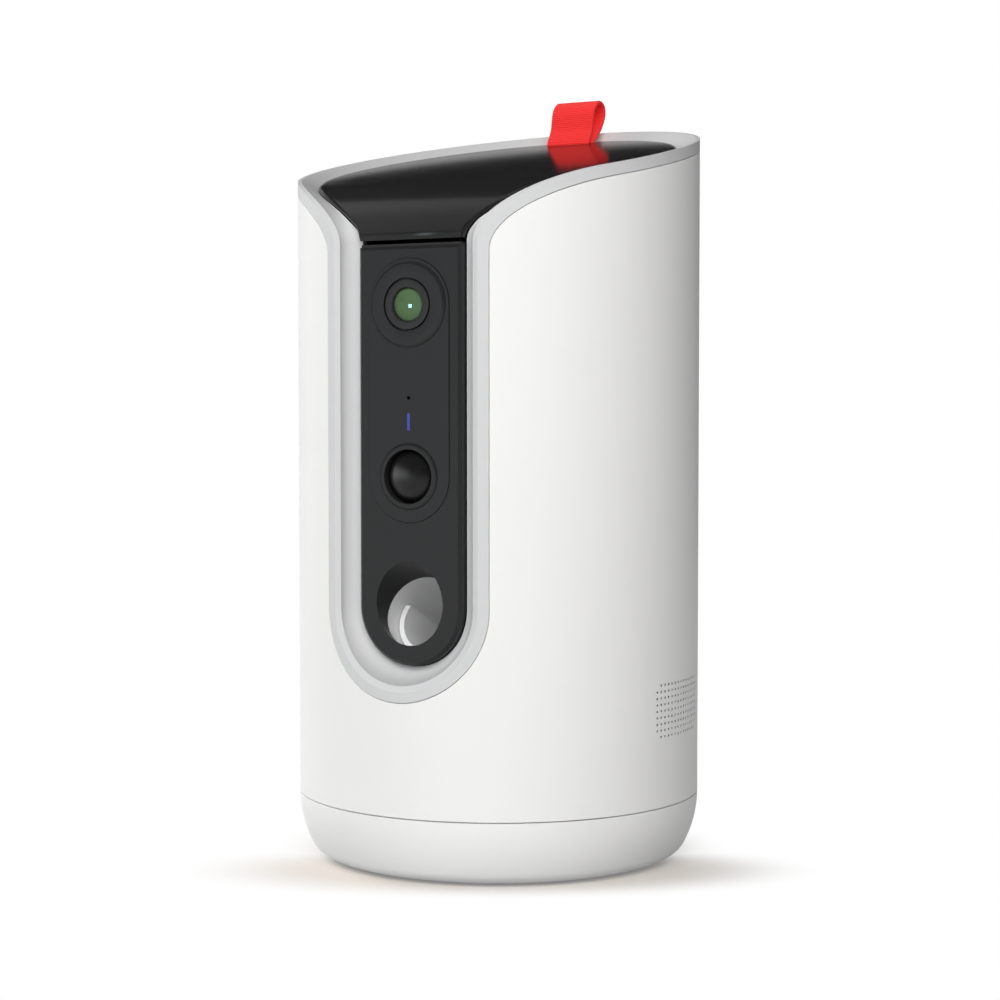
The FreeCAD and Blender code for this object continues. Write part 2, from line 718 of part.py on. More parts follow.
def led_slot(half, front, back):
    return racetrack(half, LED_LOW - (half - LED_HALF), LED_HIGH + (half - LED_HALF), front, back)


def face_holes(back, clearance=FIT):
    """Holes behind the lens, microphone, light and motion sensor."""
    front = PANEL_FACE + GLASS_CROWN + 1
    yield rod(BARREL_R + clearance, (0, -front, LENS_Z), (0, -back, LENS_Z))
    yield rod(MIC_R, (0, -front, MIC_Z), (0, -back, MIC_Z))
    yield led_slot(LED_HALF + clearance / 2, front, back)
    yield rod(PIR_RING_R + clearance, (0, -front, PIR_Z), (0, -back, PIR_Z))


def window_plate():
    front = PANEL_FACE + WINDOW_PROUD
    plate = racetrack(WINDOW_HALF, WINDOW_LOW, WINDOW_HIGH, front, front - WINDOW_THICK)
    for cutter in face_holes(PANEL_BACK - 1):
        plate = plate.cut(cutter)
    return plate


def lens_bezel():
    back = PANEL_FACE + WINDOW_PROUD
    disc = rod(BEZEL_R, (0, -BEZEL_FACE, LENS_Z), (0, -back, LENS_Z))
    rim = [e for e in disc.Edges if is_at_y(e, -BEZEL_FACE)]
    disc = disc.makeChamfer(BEZEL_CHAMFER, rim)
    return disc.cut(rod(BARREL_R + 0.5, (0, -BEZEL_FACE - 1, LENS_Z), (0, 0, LENS_Z)))


def lens_barrel():
    barrel = rod(BARREL_R, (0, -BEZEL_FACE, LENS_Z), (0, -BARREL_BACK, LENS_Z))
    cup = rod(BARREL_RECESS_R, (0, -BEZEL_FACE, LENS_Z), (0, -GLASS_RIM + 1, LENS_Z))
    return barrel.cut(cup)


def crowned_disc(radius, crown, front, back, z):
    """Disc with a spherical face: the crown stands `crown` before `front` at the centre."""
    ball_r = (radius ** 2 + crown ** 2) / (2 * crown)
    ball = Part.makeSphere(ball_r, V(0, -front - crown + ball_r, z))
    stem = rod(radius, (0, -front - crown - 1, z), (0, -back, z))
    return stem.common(ball.fuse(rod(radius, (0, -front, z), (0, -back, z))))


def lens_glass():
    return one(crowned_disc(GLASS_R, GLASS_CROWN, GLASS_RIM, GLASS_RIM - 1, LENS_Z))


def lens_holder():
    low, back = BARREL_BACK, BOARD_Y
    block = box((-HOLDER_HALF, -low, LENS_Z - HOLDER_HALF), (HOLDER_HALF, -back, LENS_Z + HOLDER_HALF))
    neck = pipe(BARREL_R + TUBE_WALL, BARREL_R + RUN_GAP, (0, -low - HOLDER_DEPTH, LENS_Z),
                (0, -low, LENS_Z))
    return one(block.fuse(neck))


def mic_capsule():
    return rod(MIC_CAN_R, (0, -BOARD_Y - MIC_CAN_H, MIC_Z), (0, -BOARD_Y, MIC_Z))


def mic_boot():
    front = PANEL_BACK
    boot = rod(MIC_BOOT_R, (0, -front, MIC_Z), (0, -BOARD_Y, MIC_Z))
    boot = boot.cut(rod(MIC_R, (0, -front, MIC_Z), (0, -BOARD_Y, MIC_Z)))
    return boot.cut(rod(MIC_CAN_R, (0, -BOARD_Y - MIC_CAN_H, MIC_Z), (0, -BOARD_Y, MIC_Z)))


def led_light_pipe():
    return led_slot(LED_HALF, PANEL_FACE + WINDOW_PROUD, BOARD_Y + 1)


def status_led():
    z = (LED_LOW + LED_HIGH) / 2
    return box((-LED_CHIP, -BOARD_Y - 1, z - LED_CHIP), (LED_CHIP, -BOARD_Y, z + LED_CHIP))


def pir_ring():
    front, back = PIR_FACE, PANEL_BACK - 1
    ring = pipe(PIR_RING_R, PIR_INNER_R, (0, -front, PIR_Z), (0, -back, PIR_Z))
    rim = [e for e in ring.Edges if is_at_y(e, -front)]
    return ring.makeChamfer(PIR_CHAMFER, rim)


def pir_dome():
    """Moulded lens: a crowned cap with a hollow back."""
    front = PANEL_FACE - DOME_SINK
    cap = crowned_disc(DOME_R, DOME_CROWN, front, PANEL_BACK - 1, PIR_Z)
    hollow = rod(DOME_R - DOME_WALL, (0, -front, PIR_Z), (0, -PANEL_BACK + 2, PIR_Z))
    return cap.cut(hollow)


def pir_sensor():
    return rod(SENSOR_CAN_R, (0, -BOARD_Y - SENSOR_CAN_H, PIR_Z), (0, -BOARD_Y, PIR_Z))


def main_board():
    board = box((-BOARD_HALF, -BOARD_Y, BOARD_LOW), (BOARD_HALF, -BOARD_Y + BOARD_THICK, BOARD_HIGH))
    for x, z in board_screw_places():
        board = board.cut(rod(SCREW_R + FIT, (x, -BOARD_Y, z), (x, 0, z)))
    back = -BOARD_Y + BOARD_THICK
    chip = box((-CHIP_HALF, back, CHIP_Z - CHIP_HALF), (CHIP_HALF, back + CHIP_THICK, CHIP_Z + CHIP_HALF))
    return board.fuse(chip)


def board_screws():
    seat = -BOARD_Y + BOARD_THICK
    return Part.makeCompound([screw((x, seat, z), (0, 1, 0), BOARD_SCREW, BOARD_HEAD_R, BOARD_HEAD)
                              for x, z in board_screw_places()])


# ---- launcher, in its own frame: +Y back along the tube, +Z up, axis at the origin ----
def launch_tube():
    tube = pipe(TUBE_R, MOUTH_R, (0, COLLAR_END, 0), (0, TUBE_END, 0))
    wall = rod(TUBE_R, (0, TUBE_END - PUSHER, 0), (0, TUBE_END, 0))
    tube = tube.fuse(wall)
    tube = tube.cut(rod(GUIDE_R + GUIDE_GAP, (0, 0, 0), (0, TUBE_END + 1, 0)))
    tube = tube.cut(box((-DROP_HALF, DROP_START, 0), (DROP_HALF, DROP_END, TUBE_R)))
    slot_top = -GUIDE_R - GUIDE_WEB
    tube = tube.cut(box((-RACK_SLOT_HALF, SLOT_START, -TUBE_R), (RACK_SLOT_HALF, TUBE_END + 1, slot_top)))
    return one(tube)


def rack_points():
    """Side outline of the rack: straight-sided teeth under a bar."""
    pitch = math.pi * RACK_MODULE
    root, tip = RACK_PITCH_DEPTH - DEDENDUM * RACK_MODULE, RACK_PITCH_DEPTH + RACK_MODULE
    lean = math.tan(math.radians(PRESSURE_ANGLE))
    end = GEAR_S + pitch / 4
    count = int((end - RACK_START) / pitch)
    points = []
    for i in range(count):
        middle = GEAR_S - i * pitch
        for side in (1, -1):
            near = pitch / 4 + DEDENDUM * RACK_MODULE * lean
            far = pitch / 4 - RACK_MODULE * lean
            pair = [(middle + side * near, -root), (middle + side * far, -tip)]
            points += pair if side == 1 else pair[::-1]
    return points


def scoop():
    """Open-topped carrier with its pusher, guide pin and the rack below."""
    cradle = pipe(SCOOP_R, SCOOP_R - SCOOP_WALL, (0, SCOOP_FRONT, 0), (0, SCOOP_BACK, 0))
    cradle = cradle.cut(box((-SCOOP_R, 0, SCOOP_RISE), (SCOOP_R, TUBE_END, SCOOP_R)))
    pusher = rod(SCOOP_R, (0, SCOOP_BACK - PUSHER, 0), (0, SCOOP_BACK, 0))
    guide = rod(GUIDE_R, (0, SCOOP_BACK, 0), (0, GUIDE_END, 0))
    teeth = rack_points()
    start, end = teeth[-1][0] - RACK_END, teeth[0][0] + RACK_END
    outline = [(start, 1 - SCOOP_R), (end, 1 - SCOOP_R), (end, teeth[0][1])]
    outline += teeth + [(start, teeth[-1][1])]
    rack = prism([(-RACK_HALF, s, z) for s, z in outline], (2 * RACK_HALF, 0, 0))
    rack = rack.cut(rod(SCOOP_R - SCOOP_WALL, (0, 0, 0), (0, TUBE_END, 0)))
    return one(cradle.fuse(pusher).fuse(guide).fuse(rack))


def gear_outline(teeth, module, phase=0.0, kept=None):
    """Tooth outline with straight flanks; `kept` leaves only the first teeth and a plain rim."""
    pitch_r = module * teeth / 2
    root, tip = pitch_r - DEDENDUM * module, pitch_r + module
    step = 2 * math.pi / teeth
    lean = math.tan(math.radians(PRESSURE_ANGLE))
    half_root = (math.pi * module / 4 + module * lean * ROOT_EASE - BACKLASH / 2) / pitch_r
    half_pitch = (math.pi * module / 4 - BACKLASH / 2) / pitch_r
    half_tip = half_pitch - module * lean * TIP_EASE / pitch_r
    points = []
    for i in range(teeth):
        middle = phase + i * step
        if kept is not None and i >= kept:
            points += [(root, middle - half_pitch), (root, middle), (root, middle + half_pitch)]
            continue
        points += [(root, middle - half_root), (pitch_r, middle - half_pitch), (tip, middle - half_tip),
                   (tip, middle + half_tip), (pitch_r, middle + half_pitch), (root, middle + half_root)]
    return points


def gear(teeth, module, width, side, centre, phase=0.0, kept=None):
    """Spur gear on an axle along X; the angle is counted from +Z towards -Y."""
    s, z = centre
    points = [(side, s - r * math.sin(a), z + r * math.cos(a))
              for r, a in gear_outline(teeth, module, phase, kept)]
    return prism(points, (width, 0, 0))


def drive_gear():
    """Sector gear for the rack and the larger wheel beside it, on one hub."""
    centre = (GEAR_S, -GEAR_DEPTH)
    step = 2 * math.pi / SECTOR_TEETH
    half_turn = step / 2
    sector = gear(SECTOR_TEETH, RACK_MODULE, GEAR_FACE, -GEAR_FACE / 2, centre, half_turn - step,
                  SECTOR_TEETH - SECTOR_MISSING)
    wheel = gear(WHEEL_TEETH, WHEEL_MODULE, WHEEL_FACE, WHEEL_SIDE, centre, wheel_phase())
    left, right = CHEEK_LEFT + CHEEK_WALL + END_PLAY, CHEEK_RIGHT - END_PLAY
    hub = rod(GEAR_HUB_R, (left, *centre), (right, *centre))
    bore = rod(AXLE_R + RUN_GAP, (left, *centre), (right, *centre))
    return one(sector.fuse(wheel).fuse(hub).cut(bore))


def pinion_angle():
    """Direction from the drive gear's centre to the pinion's, counted from +Z towards -Y."""
    return math.atan2(-(MOTOR_S - GEAR_S), -MOTOR_BELOW)


def wheel_phase():
    """A tooth of the wheel points at the pinion."""
    return pinion_angle()


def motor_pinion():
    centre = (MOTOR_S, -MOTOR_DEPTH)
    phase = pinion_angle() + math.pi + math.pi / PINION_TEETH
    pinion = gear(PINION_TEETH, WHEEL_MODULE, WHEEL_FACE, WHEEL_SIDE, centre, phase)
    shaft = rod(MOTOR_SHAFT_R, (WHEEL_SIDE, *centre), (CHEEK_RIGHT + CHEEK_WALL + SHAFT_REACH, *centre))
    return one(pinion.fuse(shaft))


def drive_axle():
    centre = (GEAR_S, -GEAR_DEPTH)
    return rod(AXLE_R, (CHEEK_LEFT, *centre), (CHEEK_RIGHT + CHEEK_WALL, *centre))


def launch_motor():
    """Small flat-sided motor on the outside of the right cheek, its nose in the cheek."""
    s, z = MOTOR_S, -MOTOR_DEPTH
    nose_x, face = CHEEK_RIGHT, CHEEK_RIGHT + CHEEK_WALL
    end = face + MOTOR_LENGTH
    can = rod(MOTOR_R, (face, s, z), (end, s, z))
    can = can.common(box((face, s - MOTOR_R, z - MOTOR_FLAT), (end, s + MOTOR_R, z + MOTOR_FLAT)))
    nose = rod(MOTOR_NOSE_R, (nose_x, s, z), (face, s, z))
    cap = rod(MOTOR_NOSE_R, (end, s, z), (end + MOTOR_CAP, s, z))
    bore = rod(MOTOR_SHAFT_R + RUN_GAP, (nose_x, s, z), (face + SHAFT_REACH, s, z))
    return one(can.fuse(nose).fuse(cap).cut(bore))


def above_floor(shape):
    floor = FLOOR_Z + FLOOR_THICK
    return shape.common(box((-BIG, -BIG, floor), (BIG, BIG, BIG)))


def cheek(side):
    """Side plate of the gearbox: it hugs the tube above and stands on the floor below."""
    plate = prism([(side, s, z) for s, z in CHEEK_OUTLINE], (CHEEK_WALL, 0, 0))
    plate = plate.cut(rod(TUBE_R, (0, 0, 0), (0, TUBE_END * 2, 0)))
    plate = plate.cut(rod(AXLE_R, (side, GEAR_S, -GEAR_DEPTH), (side + CHEEK_WALL, GEAR_S, -GEAR_DEPTH)))
    return plate


def gearbox_cheek_left():
    return above_floor(tilted(cheek(CHEEK_LEFT)))


def gearbox_cheek_right():
    plate = cheek(CHEEK_RIGHT)
    seat = rod(MOTOR_NOSE_R, (CHEEK_RIGHT, MOTOR_S, -MOTOR_DEPTH),
               (CHEEK_RIGHT + CHEEK_WALL, MOTOR_S, -MOTOR_DEPTH))
    return above_floor(tilted(plate.cut(seat)))


def launch_spring():
    """Compression spring round the guide pin, between the pusher and the tube's end wall."""
    length = TUBE_END - PUSHER - SCOOP_BACK - 2 * SPRING_WIRE
    helix = Part.makeHelix(length / SPRING_TURNS, length, SPRING_R)
    around = [2 * math.pi * i / WIRE_SIDES for i in range(WIRE_SIDES + 1)]
    corners = [V(SPRING_R + SPRING_WIRE * math.cos(a), 0, SPRING_WIRE * math.sin(a)) for a in around]
    profile = Part.makePolygon(corners)
    coil = Part.Wire(helix).makePipeShell([profile], True, True)
    coil.rotate(V(0, 0, 0), V(1, 0, 0), -90)
    coil.translate(V(0, SCOOP_BACK + SPRING_WIRE, 0))
    return coil


# ---- dispenser ----
def wheel_housing():
    """Round well under the hopper; its floor has the drop hole at the front."""
    low = WELL_FLOOR
    well = rod(WELL_R + WELL_WALL, (0, WHEEL_Y, low), (0, WHEEL_Y, low + WELL_HEIGHT))
    well = well.cut(rod(WELL_R, (0, WHEEL_Y, low + WELL_WALL), (0, WHEEL_Y, low + WELL_HEIGHT)))
    drop_y = WHEEL_Y - DROP_CIRCLE
    well = well.cut(rod(CHUTE_R, (0, drop_y, low - 1), (0, drop_y, low + WELL_WALL)))
    return well.cut(rod(SHAFT_R + RUN_GAP, (0, WHEEL_Y, low - 1), (0, WHEEL_Y, low + WELL_WALL)))


def drop_chute():
    y = WHEEL_Y - DROP_CIRCLE
    chute = pipe(CHUTE_R + CHUTE_WALL, CHUTE_R, (0, y, MOUTH_Z - MOUTH_Y), (0, y, WELL_FLOOR))
    tube = tilted(rod(TUBE_R, (0, 0, 0), (0, TUBE_END, 0)))
    below = tilted(box((-BIG, -BIG, -BIG), (BIG, BIG, 0)))
    return chute.cut(tube).cut(below)


def dispenser_wheel():
    """Star wheel: a hub with paddles that push treats round to the drop hole, and a stirrer on top."""
    low = WELL_FLOOR + WELL_WALL + STAR_GAP
    high = low + STAR_HEIGHT
    wheel = rod(HUB_R, (0, 0, low), (0, 0, high))
    for i in range(POCKETS):
        paddle = box((-PADDLE / 2, 0, low), (PADDLE / 2, STAR_R - PADDLE / 2, high))
        paddle = paddle.fuse(rod(PADDLE / 2, (0, STAR_R - PADDLE / 2, low), (0, STAR_R - PADDLE / 2, high)))
        paddle.rotate(V(0, 0, 0), V(0, 0, 1), 360 * (i + 0.5) / POCKETS)
        wheel = wheel.fuse(paddle)
    wheel = wheel.fuse(Part.makeCone(HUB_R, HUB_R / 2, STIRRER_HEIGHT, V(0, 0, high)))
    for i in range(POCKETS // 2):
        fin = box((-PADDLE / 2, 0, high), (PADDLE / 2, STIRRER_R, high + STIRRER_HEIGHT))
        fin.rotate(V(0, 0, 0), V(0, 0, 1), 360 * (2 * i + 0.5) / POCKETS)
        wheel = wheel.fuse(fin)
    wheel.translate(V(0, WHEEL_Y, 0))
    return one(wheel.cut(rod(SHAFT_R, (0, WHEEL_Y, low), (0, WHEEL_Y, high))))


def wheel_shaft():
    low = WELL_FLOOR + WELL_WALL + STAR_GAP
    bottom = WELL_FLOOR - SHAFT_DEPTH
    return rod(SHAFT_R, (0, WHEEL_Y, bottom), (0, WHEEL_Y, low + STAR_HEIGHT))


def gearbox_front():
    """The gearbox stands clear of the chute in front of it."""
    return WHEEL_Y - DROP_CIRCLE + CHUTE_R + CHUTE_WALL + GEARBOX_GAP


def dispenser_gearbox():
    width, depth, height = GEARBOX
    y = gearbox_front()
    case = box((-width / 2, y, WELL_FLOOR - height), (width / 2, y + depth, WELL_FLOOR))
    bore = rod(SHAFT_R + RUN_GAP, (0, WHEEL_Y, WELL_FLOOR - SHAFT_BORE), (0, WHEEL_Y, WELL_FLOOR))
    return case.cut(bore)


def dispenser_motor():
    width, depth, height = GEARBOX
    y = gearbox_front() + depth
    z = WELL_FLOOR - height / 2
    can = rod(DISPENSER_CAN_R, (0, y, z), (0, y + DISPENSER_CAN_LENGTH, z))
    end = y + DISPENSER_CAN_LENGTH
    return can.fuse(rod(SHAFT_R, (0, end, z), (0, end + MOTOR_CAP, z)))


def hopper_form(inset):
    """Funnel under a round bin, cut flat in front."""
    low = WELL_FLOOR + WELL_HEIGHT
    neck_r, bin_r = WELL_R + WELL_WALL - inset, HOPPER_R - inset
    neck = Part.makeCircle(neck_r, V(0, WHEEL_Y, low), V(0, 0, 1))
    shoulder = Part.makeCircle(bin_r, V(0, 0, HOPPER_SHOULDER), V(0, 0, 1))
    funnel = Part.makeLoft([Part.Wire(neck), Part.Wire(shoulder)], True, True)
    upper = rod(bin_r, (0, 0, HOPPER_SHOULDER), (0, 0, CREST + SHELL_R))
    form = funnel.fuse(upper)
    form = form.cut(box((-BIG, -BIG, 0), (BIG, -HOPPER_FRONT + inset, BIG)))
    return form


def hopper():
    low = WELL_FLOOR + WELL_HEIGHT
    body = hopper_form(0).cut(hopper_form(HOPPER_WALL))
    body = body.cut(slanted_block(HOPPER_TOP))
    guard = rod(WELL_R + WELL_WALL, (0, WHEEL_Y, low), (0, WHEEL_Y, low + WELL_WALL))
    guard = guard.common(box((-BIG, -BIG, 0), (BIG, WHEEL_Y - STIRRER_R - 1, BIG)))
    guard = guard.common(hopper_form(0))
    return one(body.fuse(guard))


# ---- lid ----
def lid_profile(sink):
    """Side outline of the lid, sunk by a wall: chin, shoulder and slanted top, extruded along X."""
    crease = (CREASE_IN - CHIN_FACE, LID_TOP - SLOPE * (CHIN_FACE - CREASE_IN))
    points = [(-CHIN_FACE, CHIN_BOTTOM)]
    points += [(inward - CHIN_FACE, CHIN_BOTTOM + up) for inward, up in CHIN_CURVE]
    points.append(crease)
    chin = Part.BSplineCurve()
    shoulder = points[-1]
    chin.interpolate(Points=[V(-BIG, y, z) for y, z in points],
                     InitialTangent=V(0, 0, 1), FinalTangent=V(0, 1, SLOPE * 2))
    top = LID_TOP + SLOPE * BIG
    edges = [chin.toShape(),
             line((-BIG, shoulder[0], shoulder[1]), (-BIG, BIG, top)),
             line((-BIG, BIG, top), (-BIG, BIG, 0)),
             line((-BIG, BIG, 0), (-BIG, points[0][0], 0)),
             line((-BIG, points[0][0], 0), (-BIG, points[0][0], points[0][1]))]
    face = Part.Face(Part.Wire(Part.__sortEdges__(edges)))
    block = face.extrude(V(2 * BIG, 0, 0))
    if sink:
        block.translate(V(0, sink, -sink))
    return block


def lid_block(inset, sink):
    foot_in = SLOT_HALF - FOOT_HALF + LID_GAP + inset
    front = front_opening(foot_in, FOOT_TOP + inset, LID_R - inset, 1.0, CHIN_BOTTOM - 1)
    front.translate(V(0, 0, LID_GAP))
    flare_end_y = -math.sqrt(FOOT_R ** 2 - FOOT_FLARE_END ** 2)
    wide = front.fuse(box((-BIG, flare_end_y, CHIN_BOTTOM - 1), (BIG, BIG, BIG)))
    drum = rod(LID_R - inset, (0, 0, CHIN_BOTTOM), (0, 0, CREST + SHELL_R))
    flat_half = math.sqrt(FOOT_R ** 2 - FOOT_DEPTH ** 2)
    chin = rod(CHIN_R - inset, (0, 0, CHIN_BOTTOM), (0, 0, LID_TOP))
    drum = drum.fuse(chin.common(box((-flat_half, -BIG, 0), (flat_half, 0, BIG))))
    return drum.common(lid_profile(sink)).common(wide)


def lid_shell():
    body = lid_block(0, 0)
    body = body.cut(lid_block(LID_SIDE, LID_WALL))
    under = slanted_block(LID_TOP - LID_SKIRT, False)
    body = body.cut(under.common(box((-BIG, CREASE_IN - CHIN_FACE, 0), (BIG, BIG, BIG))))
    return one(body.fuse(lid_plug()).cut(tab_slit()))


def bin_section(inset):
    drum = rod(HOPPER_R - HOPPER_WALL - inset, (0, 0, CHIN_BOTTOM), (0, 0, CREST + SHELL_R))
    return drum.cut(box((-BIG, -BIG, 0), (BIG, -HOPPER_FRONT + HOPPER_WALL + inset, BIG)))


def between_planes(shape, low, high):
    return shape.cut(slanted_block(low, False)).cut(slanted_block(high))


def lid_plug():
    """Wall under the lid that reaches into the hopper's mouth."""
    ring = bin_section(PLUG_GAP).cut(bin_section(PLUG_GAP + PLUG_WALL))
    return between_planes(ring, LID_TOP - LID_WALL - PLUG_DEPTH, LID_TOP - LID_WALL)


def lid_gasket():
    ring = bin_section(SEAL_GAP).cut(bin_section(PLUG_GAP))
    low = HOPPER_TOP - SEAL_HEIGHT - SEAL_DOWN
    return between_planes(ring, low, low + SEAL_HEIGHT)


def pull_tab():
    """Ribbon loop: a strip folded over, pinched together where it enters the lid."""
    path = [(TAB_Y + y, TAB_Z + z) for y, z in TAB_FRONT + TAB_TOP + TAB_BACK]
    outer = curve([(0, y, z) for y, z in path])
    start, end = path[0], path[-1]
    inner_points = [(0, y, z) for y, z in shrunk(path, TAB_THICK)]
    inner = curve(inner_points)
    edges = [outer, line((0, *end), inner_points[-1]), inner, line(inner_points[0], (0, *start))]
    face = Part.Face(Part.Wire(Part.__sortEdges__(edges)))
    strip = face.extrude(V(TAB_WIDTH, 0, 0))
    strip.translate(V(-TAB_WIDTH / 2, 0, 0))
    return strip.common(box((-BIG, -BIG, TAB_Z), (BIG, BIG, BIG)))


def shrunk(path, by):
    """The same path moved inwards by the ribbon's thickness."""
    moved = []
    for i, (y, z) in enumerate(path):
        a = path[max(i - 1, 0)]
        b = path[min(i + 1, len(path) - 1)]
        dy, dz = b[0] - a[0], b[1] - a[1]
        size = math.hypot(dy, dz)
        moved.append((y + by * dz / size, z - by * dy / size))
    return moved


def tab_slit():
    """Slit at the lid's back edge that both legs of the ribbon pass through."""
    half = TAB_WIDTH / 2 + FIT
    front, back = TAB_Y - FIT, TAB_Y + TAB_BACK[-3][0] + FIT
    return box((-half, front, HOPPER_TOP), (half, back, CREST + SHELL_R))


def tab_anchor():
    """Bar under the lid that the ribbon's ends are welded to, with an ear up to the lid at each end."""
    front, back = TAB_Y - FIT, TAB_Y + TAB_BACK[-1][0] + FIT
    top, low = TAB_Z, TAB_Z - ANCHOR_HEIGHT
    half = TAB_WIDTH / 2 + FIT
    under = LID_TOP - LID_WALL * (1 + SLOPE) + SLOPE * front
    bar = box((-half - ANCHOR_EAR, front, low), (half + ANCHOR_EAR, back, top))
    for x in (-half - ANCHOR_EAR, half):
        bar = bar.fuse(box((x, front, low), (x + ANCHOR_EAR, back, under)))
    return one(bar.common(rod(LID_R - LID_SIDE, (0, 0, low), (0, 0, CREST + SHELL_R))))


# ---- back, sound and power ----
def power_board():
    y = POWER_BOARD_Y
    top = INLET_Z + POWER_BOARD_RISE
    return box((-POWER_BOARD_HALF, y - BOARD_THICK, FLOOR_Z + FLOOR_THICK), (POWER_BOARD_HALF, y, top))


def power_inlet():
    """Round-ended metal mouth with a tongue inside; it stands on the board and ends behind the shell."""
    y, mouth = POWER_BOARD_Y, POWER_BOARD_Y + INLET_DEPTH
    case = inlet_bar(0, y, mouth + INLET_LIP).cut(inlet_bar(-INLET_WALL, y + INLET_BACK, BIG))
    tongue = box((INLET_X - TONGUE_HALF, y + INLET_BACK / 2, INLET_Z - INLET_WALL),
                 (INLET_X + TONGUE_HALF, mouth, INLET_Z + INLET_WALL))
    return one(case.fuse(tongue))


def reset_switch():
    y = POWER_BOARD_Y
    return box((BUTTON_X - SWITCH_HALF, y, INLET_Z - SWITCH_HALF),
               (BUTTON_X + SWITCH_HALF, y + SWITCH_HALF, INLET_Z + SWITCH_HALF))


def reset_button():
    y = POWER_BOARD_Y + SWITCH_HALF + BUTTON_TRAVEL + FIT
    face = math.sqrt(SHELL_R ** 2 - (BUTTON_X + BUTTON_R) ** 2) + BUTTON_PROUD
    cap = rod(BUTTON_R, (BUTTON_X, y, INLET_Z), (BUTTON_X, face, INLET_Z))
    flange = rod(BUTTON_FLANGE_R, (BUTTON_X, y, INLET_Z), (BUTTON_X, y + FLANGE_THICK, INLET_Z))
    return cap.fuse(flange)


def speaker_form(points):
    """Round part of the speaker, turned about its own axis along X."""
    shape = turned(points)
    shape.rotate(V(0, 0, 0), V(0, 1, 0), 90)
    shape.translate(V(SPEAKER_X, 0, SPEAKER_Z))
    return shape


def speaker_basket():
    r, depth = SPEAKER_R, SPEAKER_DEPTH
    seat, inner = depth - FLANGE_THICK, MAGNET_DEPTH + FLANGE_THICK
    back = [(0, 0), (MAGNET_R, 0), (MAGNET_R, MAGNET_DEPTH), (r - SPEAKER_FLANGE, seat), (r, seat)]
    front = [(r, depth), (r - SPEAKER_FLANGE, depth), (MAGNET_R - 1, inner), (0, inner)]
    return speaker_form(back + front)


def speaker_cone():
    """Paper cone with its dust cap and the rim that is glued to the basket's flange."""
    rim, edge = SPEAKER_R - SPEAKER_FLANGE - FIT, SPEAKER_R - FLANGE_THICK
    depth = SPEAKER_DEPTH
    valley = MAGNET_DEPTH + FLANGE_THICK + FIT
    return speaker_form([(0, valley + 1), (CONE_CAP_R, valley), (rim, depth), (edge, depth),
                         (edge, depth + CONE_THICK), (rim - CONE_THICK / 2, depth + CONE_THICK),
                         (CONE_CAP_R, valley + CONE_THICK), (0, valley + 1 + CONE_THICK)])


def speaker_bracket():
    """Upright plate with the speaker's opening, on a foot screwed to the floor."""
    x = SPEAKER_X + SPEAKER_DEPTH - FLANGE_THICK
    floor = FLOOR_Z + FLOOR_THICK
    half = SPEAKER_R + FLANGE_THICK
    plate = box((x - BRACKET_WALL, -half, floor), (x, half, SPEAKER_Z + half))
    foot = box((x - BRACKET_FOOT, -half, floor), (x, half, floor + BRACKET_WALL))
    foot = foot.common(rod(FLOOR_R, (0, 0, 0), (0, 0, BIG)))
    plate = plate.common(rod(FLAT_INNER_R - 1, (0, 0, 0), (0, 0, BIG)))
    hole = rod(SPEAKER_R - FLANGE_THICK, (0, 0, SPEAKER_Z), (BIG, 0, SPEAKER_Z))
    return one(plate.fuse(foot).cut(hole))


LAUNCHER = (launch_tube, scoop, drive_gear, drive_axle, motor_pinion, launch_motor, launch_spring)
PLACED = (outer_shell, rim_trim, base_cup, foot_ring, base_screws, ballast_plate, inner_frame,
          front_panel, window_plate, lens_bezel, lens_barrel, lens_glass, lens_holder,
          mic_capsule, mic_boot, led_light_pipe, status_led, pir_ring, pir_dome, pir_sensor,
          main_board, board_screws, gearbox_cheek_left, gearbox_cheek_right, wheel_housing,
          drop_chute, dispenser_wheel, wheel_shaft, dispenser_gearbox, dispenser_motor, hopper,
          lid_shell, lid_gasket, pull_tab, tab_anchor, power_board, power_inlet, reset_switch,
          reset_button, speaker_basket, speaker_cone, speaker_bracket)


def main():
    os.makedirs("parts", exist_ok=True)
    for make in LAUNCHER:
        tilted(make()).exportStep("parts/%s.step" % make.__name__)
    for make in PLACED:
        make().exportStep("parts/%s.step" % make.__name__)


main()
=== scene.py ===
import bmesh
import bpy
import json
import math
from mathutils import Matrix, Vector

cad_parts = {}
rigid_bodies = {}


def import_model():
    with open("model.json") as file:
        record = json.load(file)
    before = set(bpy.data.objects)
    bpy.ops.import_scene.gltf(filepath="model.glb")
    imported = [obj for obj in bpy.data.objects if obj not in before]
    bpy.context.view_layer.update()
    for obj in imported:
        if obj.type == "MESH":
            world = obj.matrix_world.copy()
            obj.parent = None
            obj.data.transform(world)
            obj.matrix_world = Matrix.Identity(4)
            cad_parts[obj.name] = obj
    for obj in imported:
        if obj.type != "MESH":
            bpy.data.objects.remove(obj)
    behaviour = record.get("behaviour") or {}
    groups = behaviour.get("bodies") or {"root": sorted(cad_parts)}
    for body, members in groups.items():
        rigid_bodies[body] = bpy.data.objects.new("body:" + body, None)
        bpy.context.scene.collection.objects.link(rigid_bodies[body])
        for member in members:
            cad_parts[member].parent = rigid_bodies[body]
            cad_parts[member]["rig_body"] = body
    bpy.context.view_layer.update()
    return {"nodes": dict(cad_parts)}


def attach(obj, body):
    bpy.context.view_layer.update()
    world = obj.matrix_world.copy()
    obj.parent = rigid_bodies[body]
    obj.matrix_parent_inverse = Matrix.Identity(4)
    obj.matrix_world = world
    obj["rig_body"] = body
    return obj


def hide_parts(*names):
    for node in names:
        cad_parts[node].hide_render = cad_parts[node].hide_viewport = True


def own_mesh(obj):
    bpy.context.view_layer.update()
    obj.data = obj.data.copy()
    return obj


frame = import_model()
nodes = frame["nodes"]

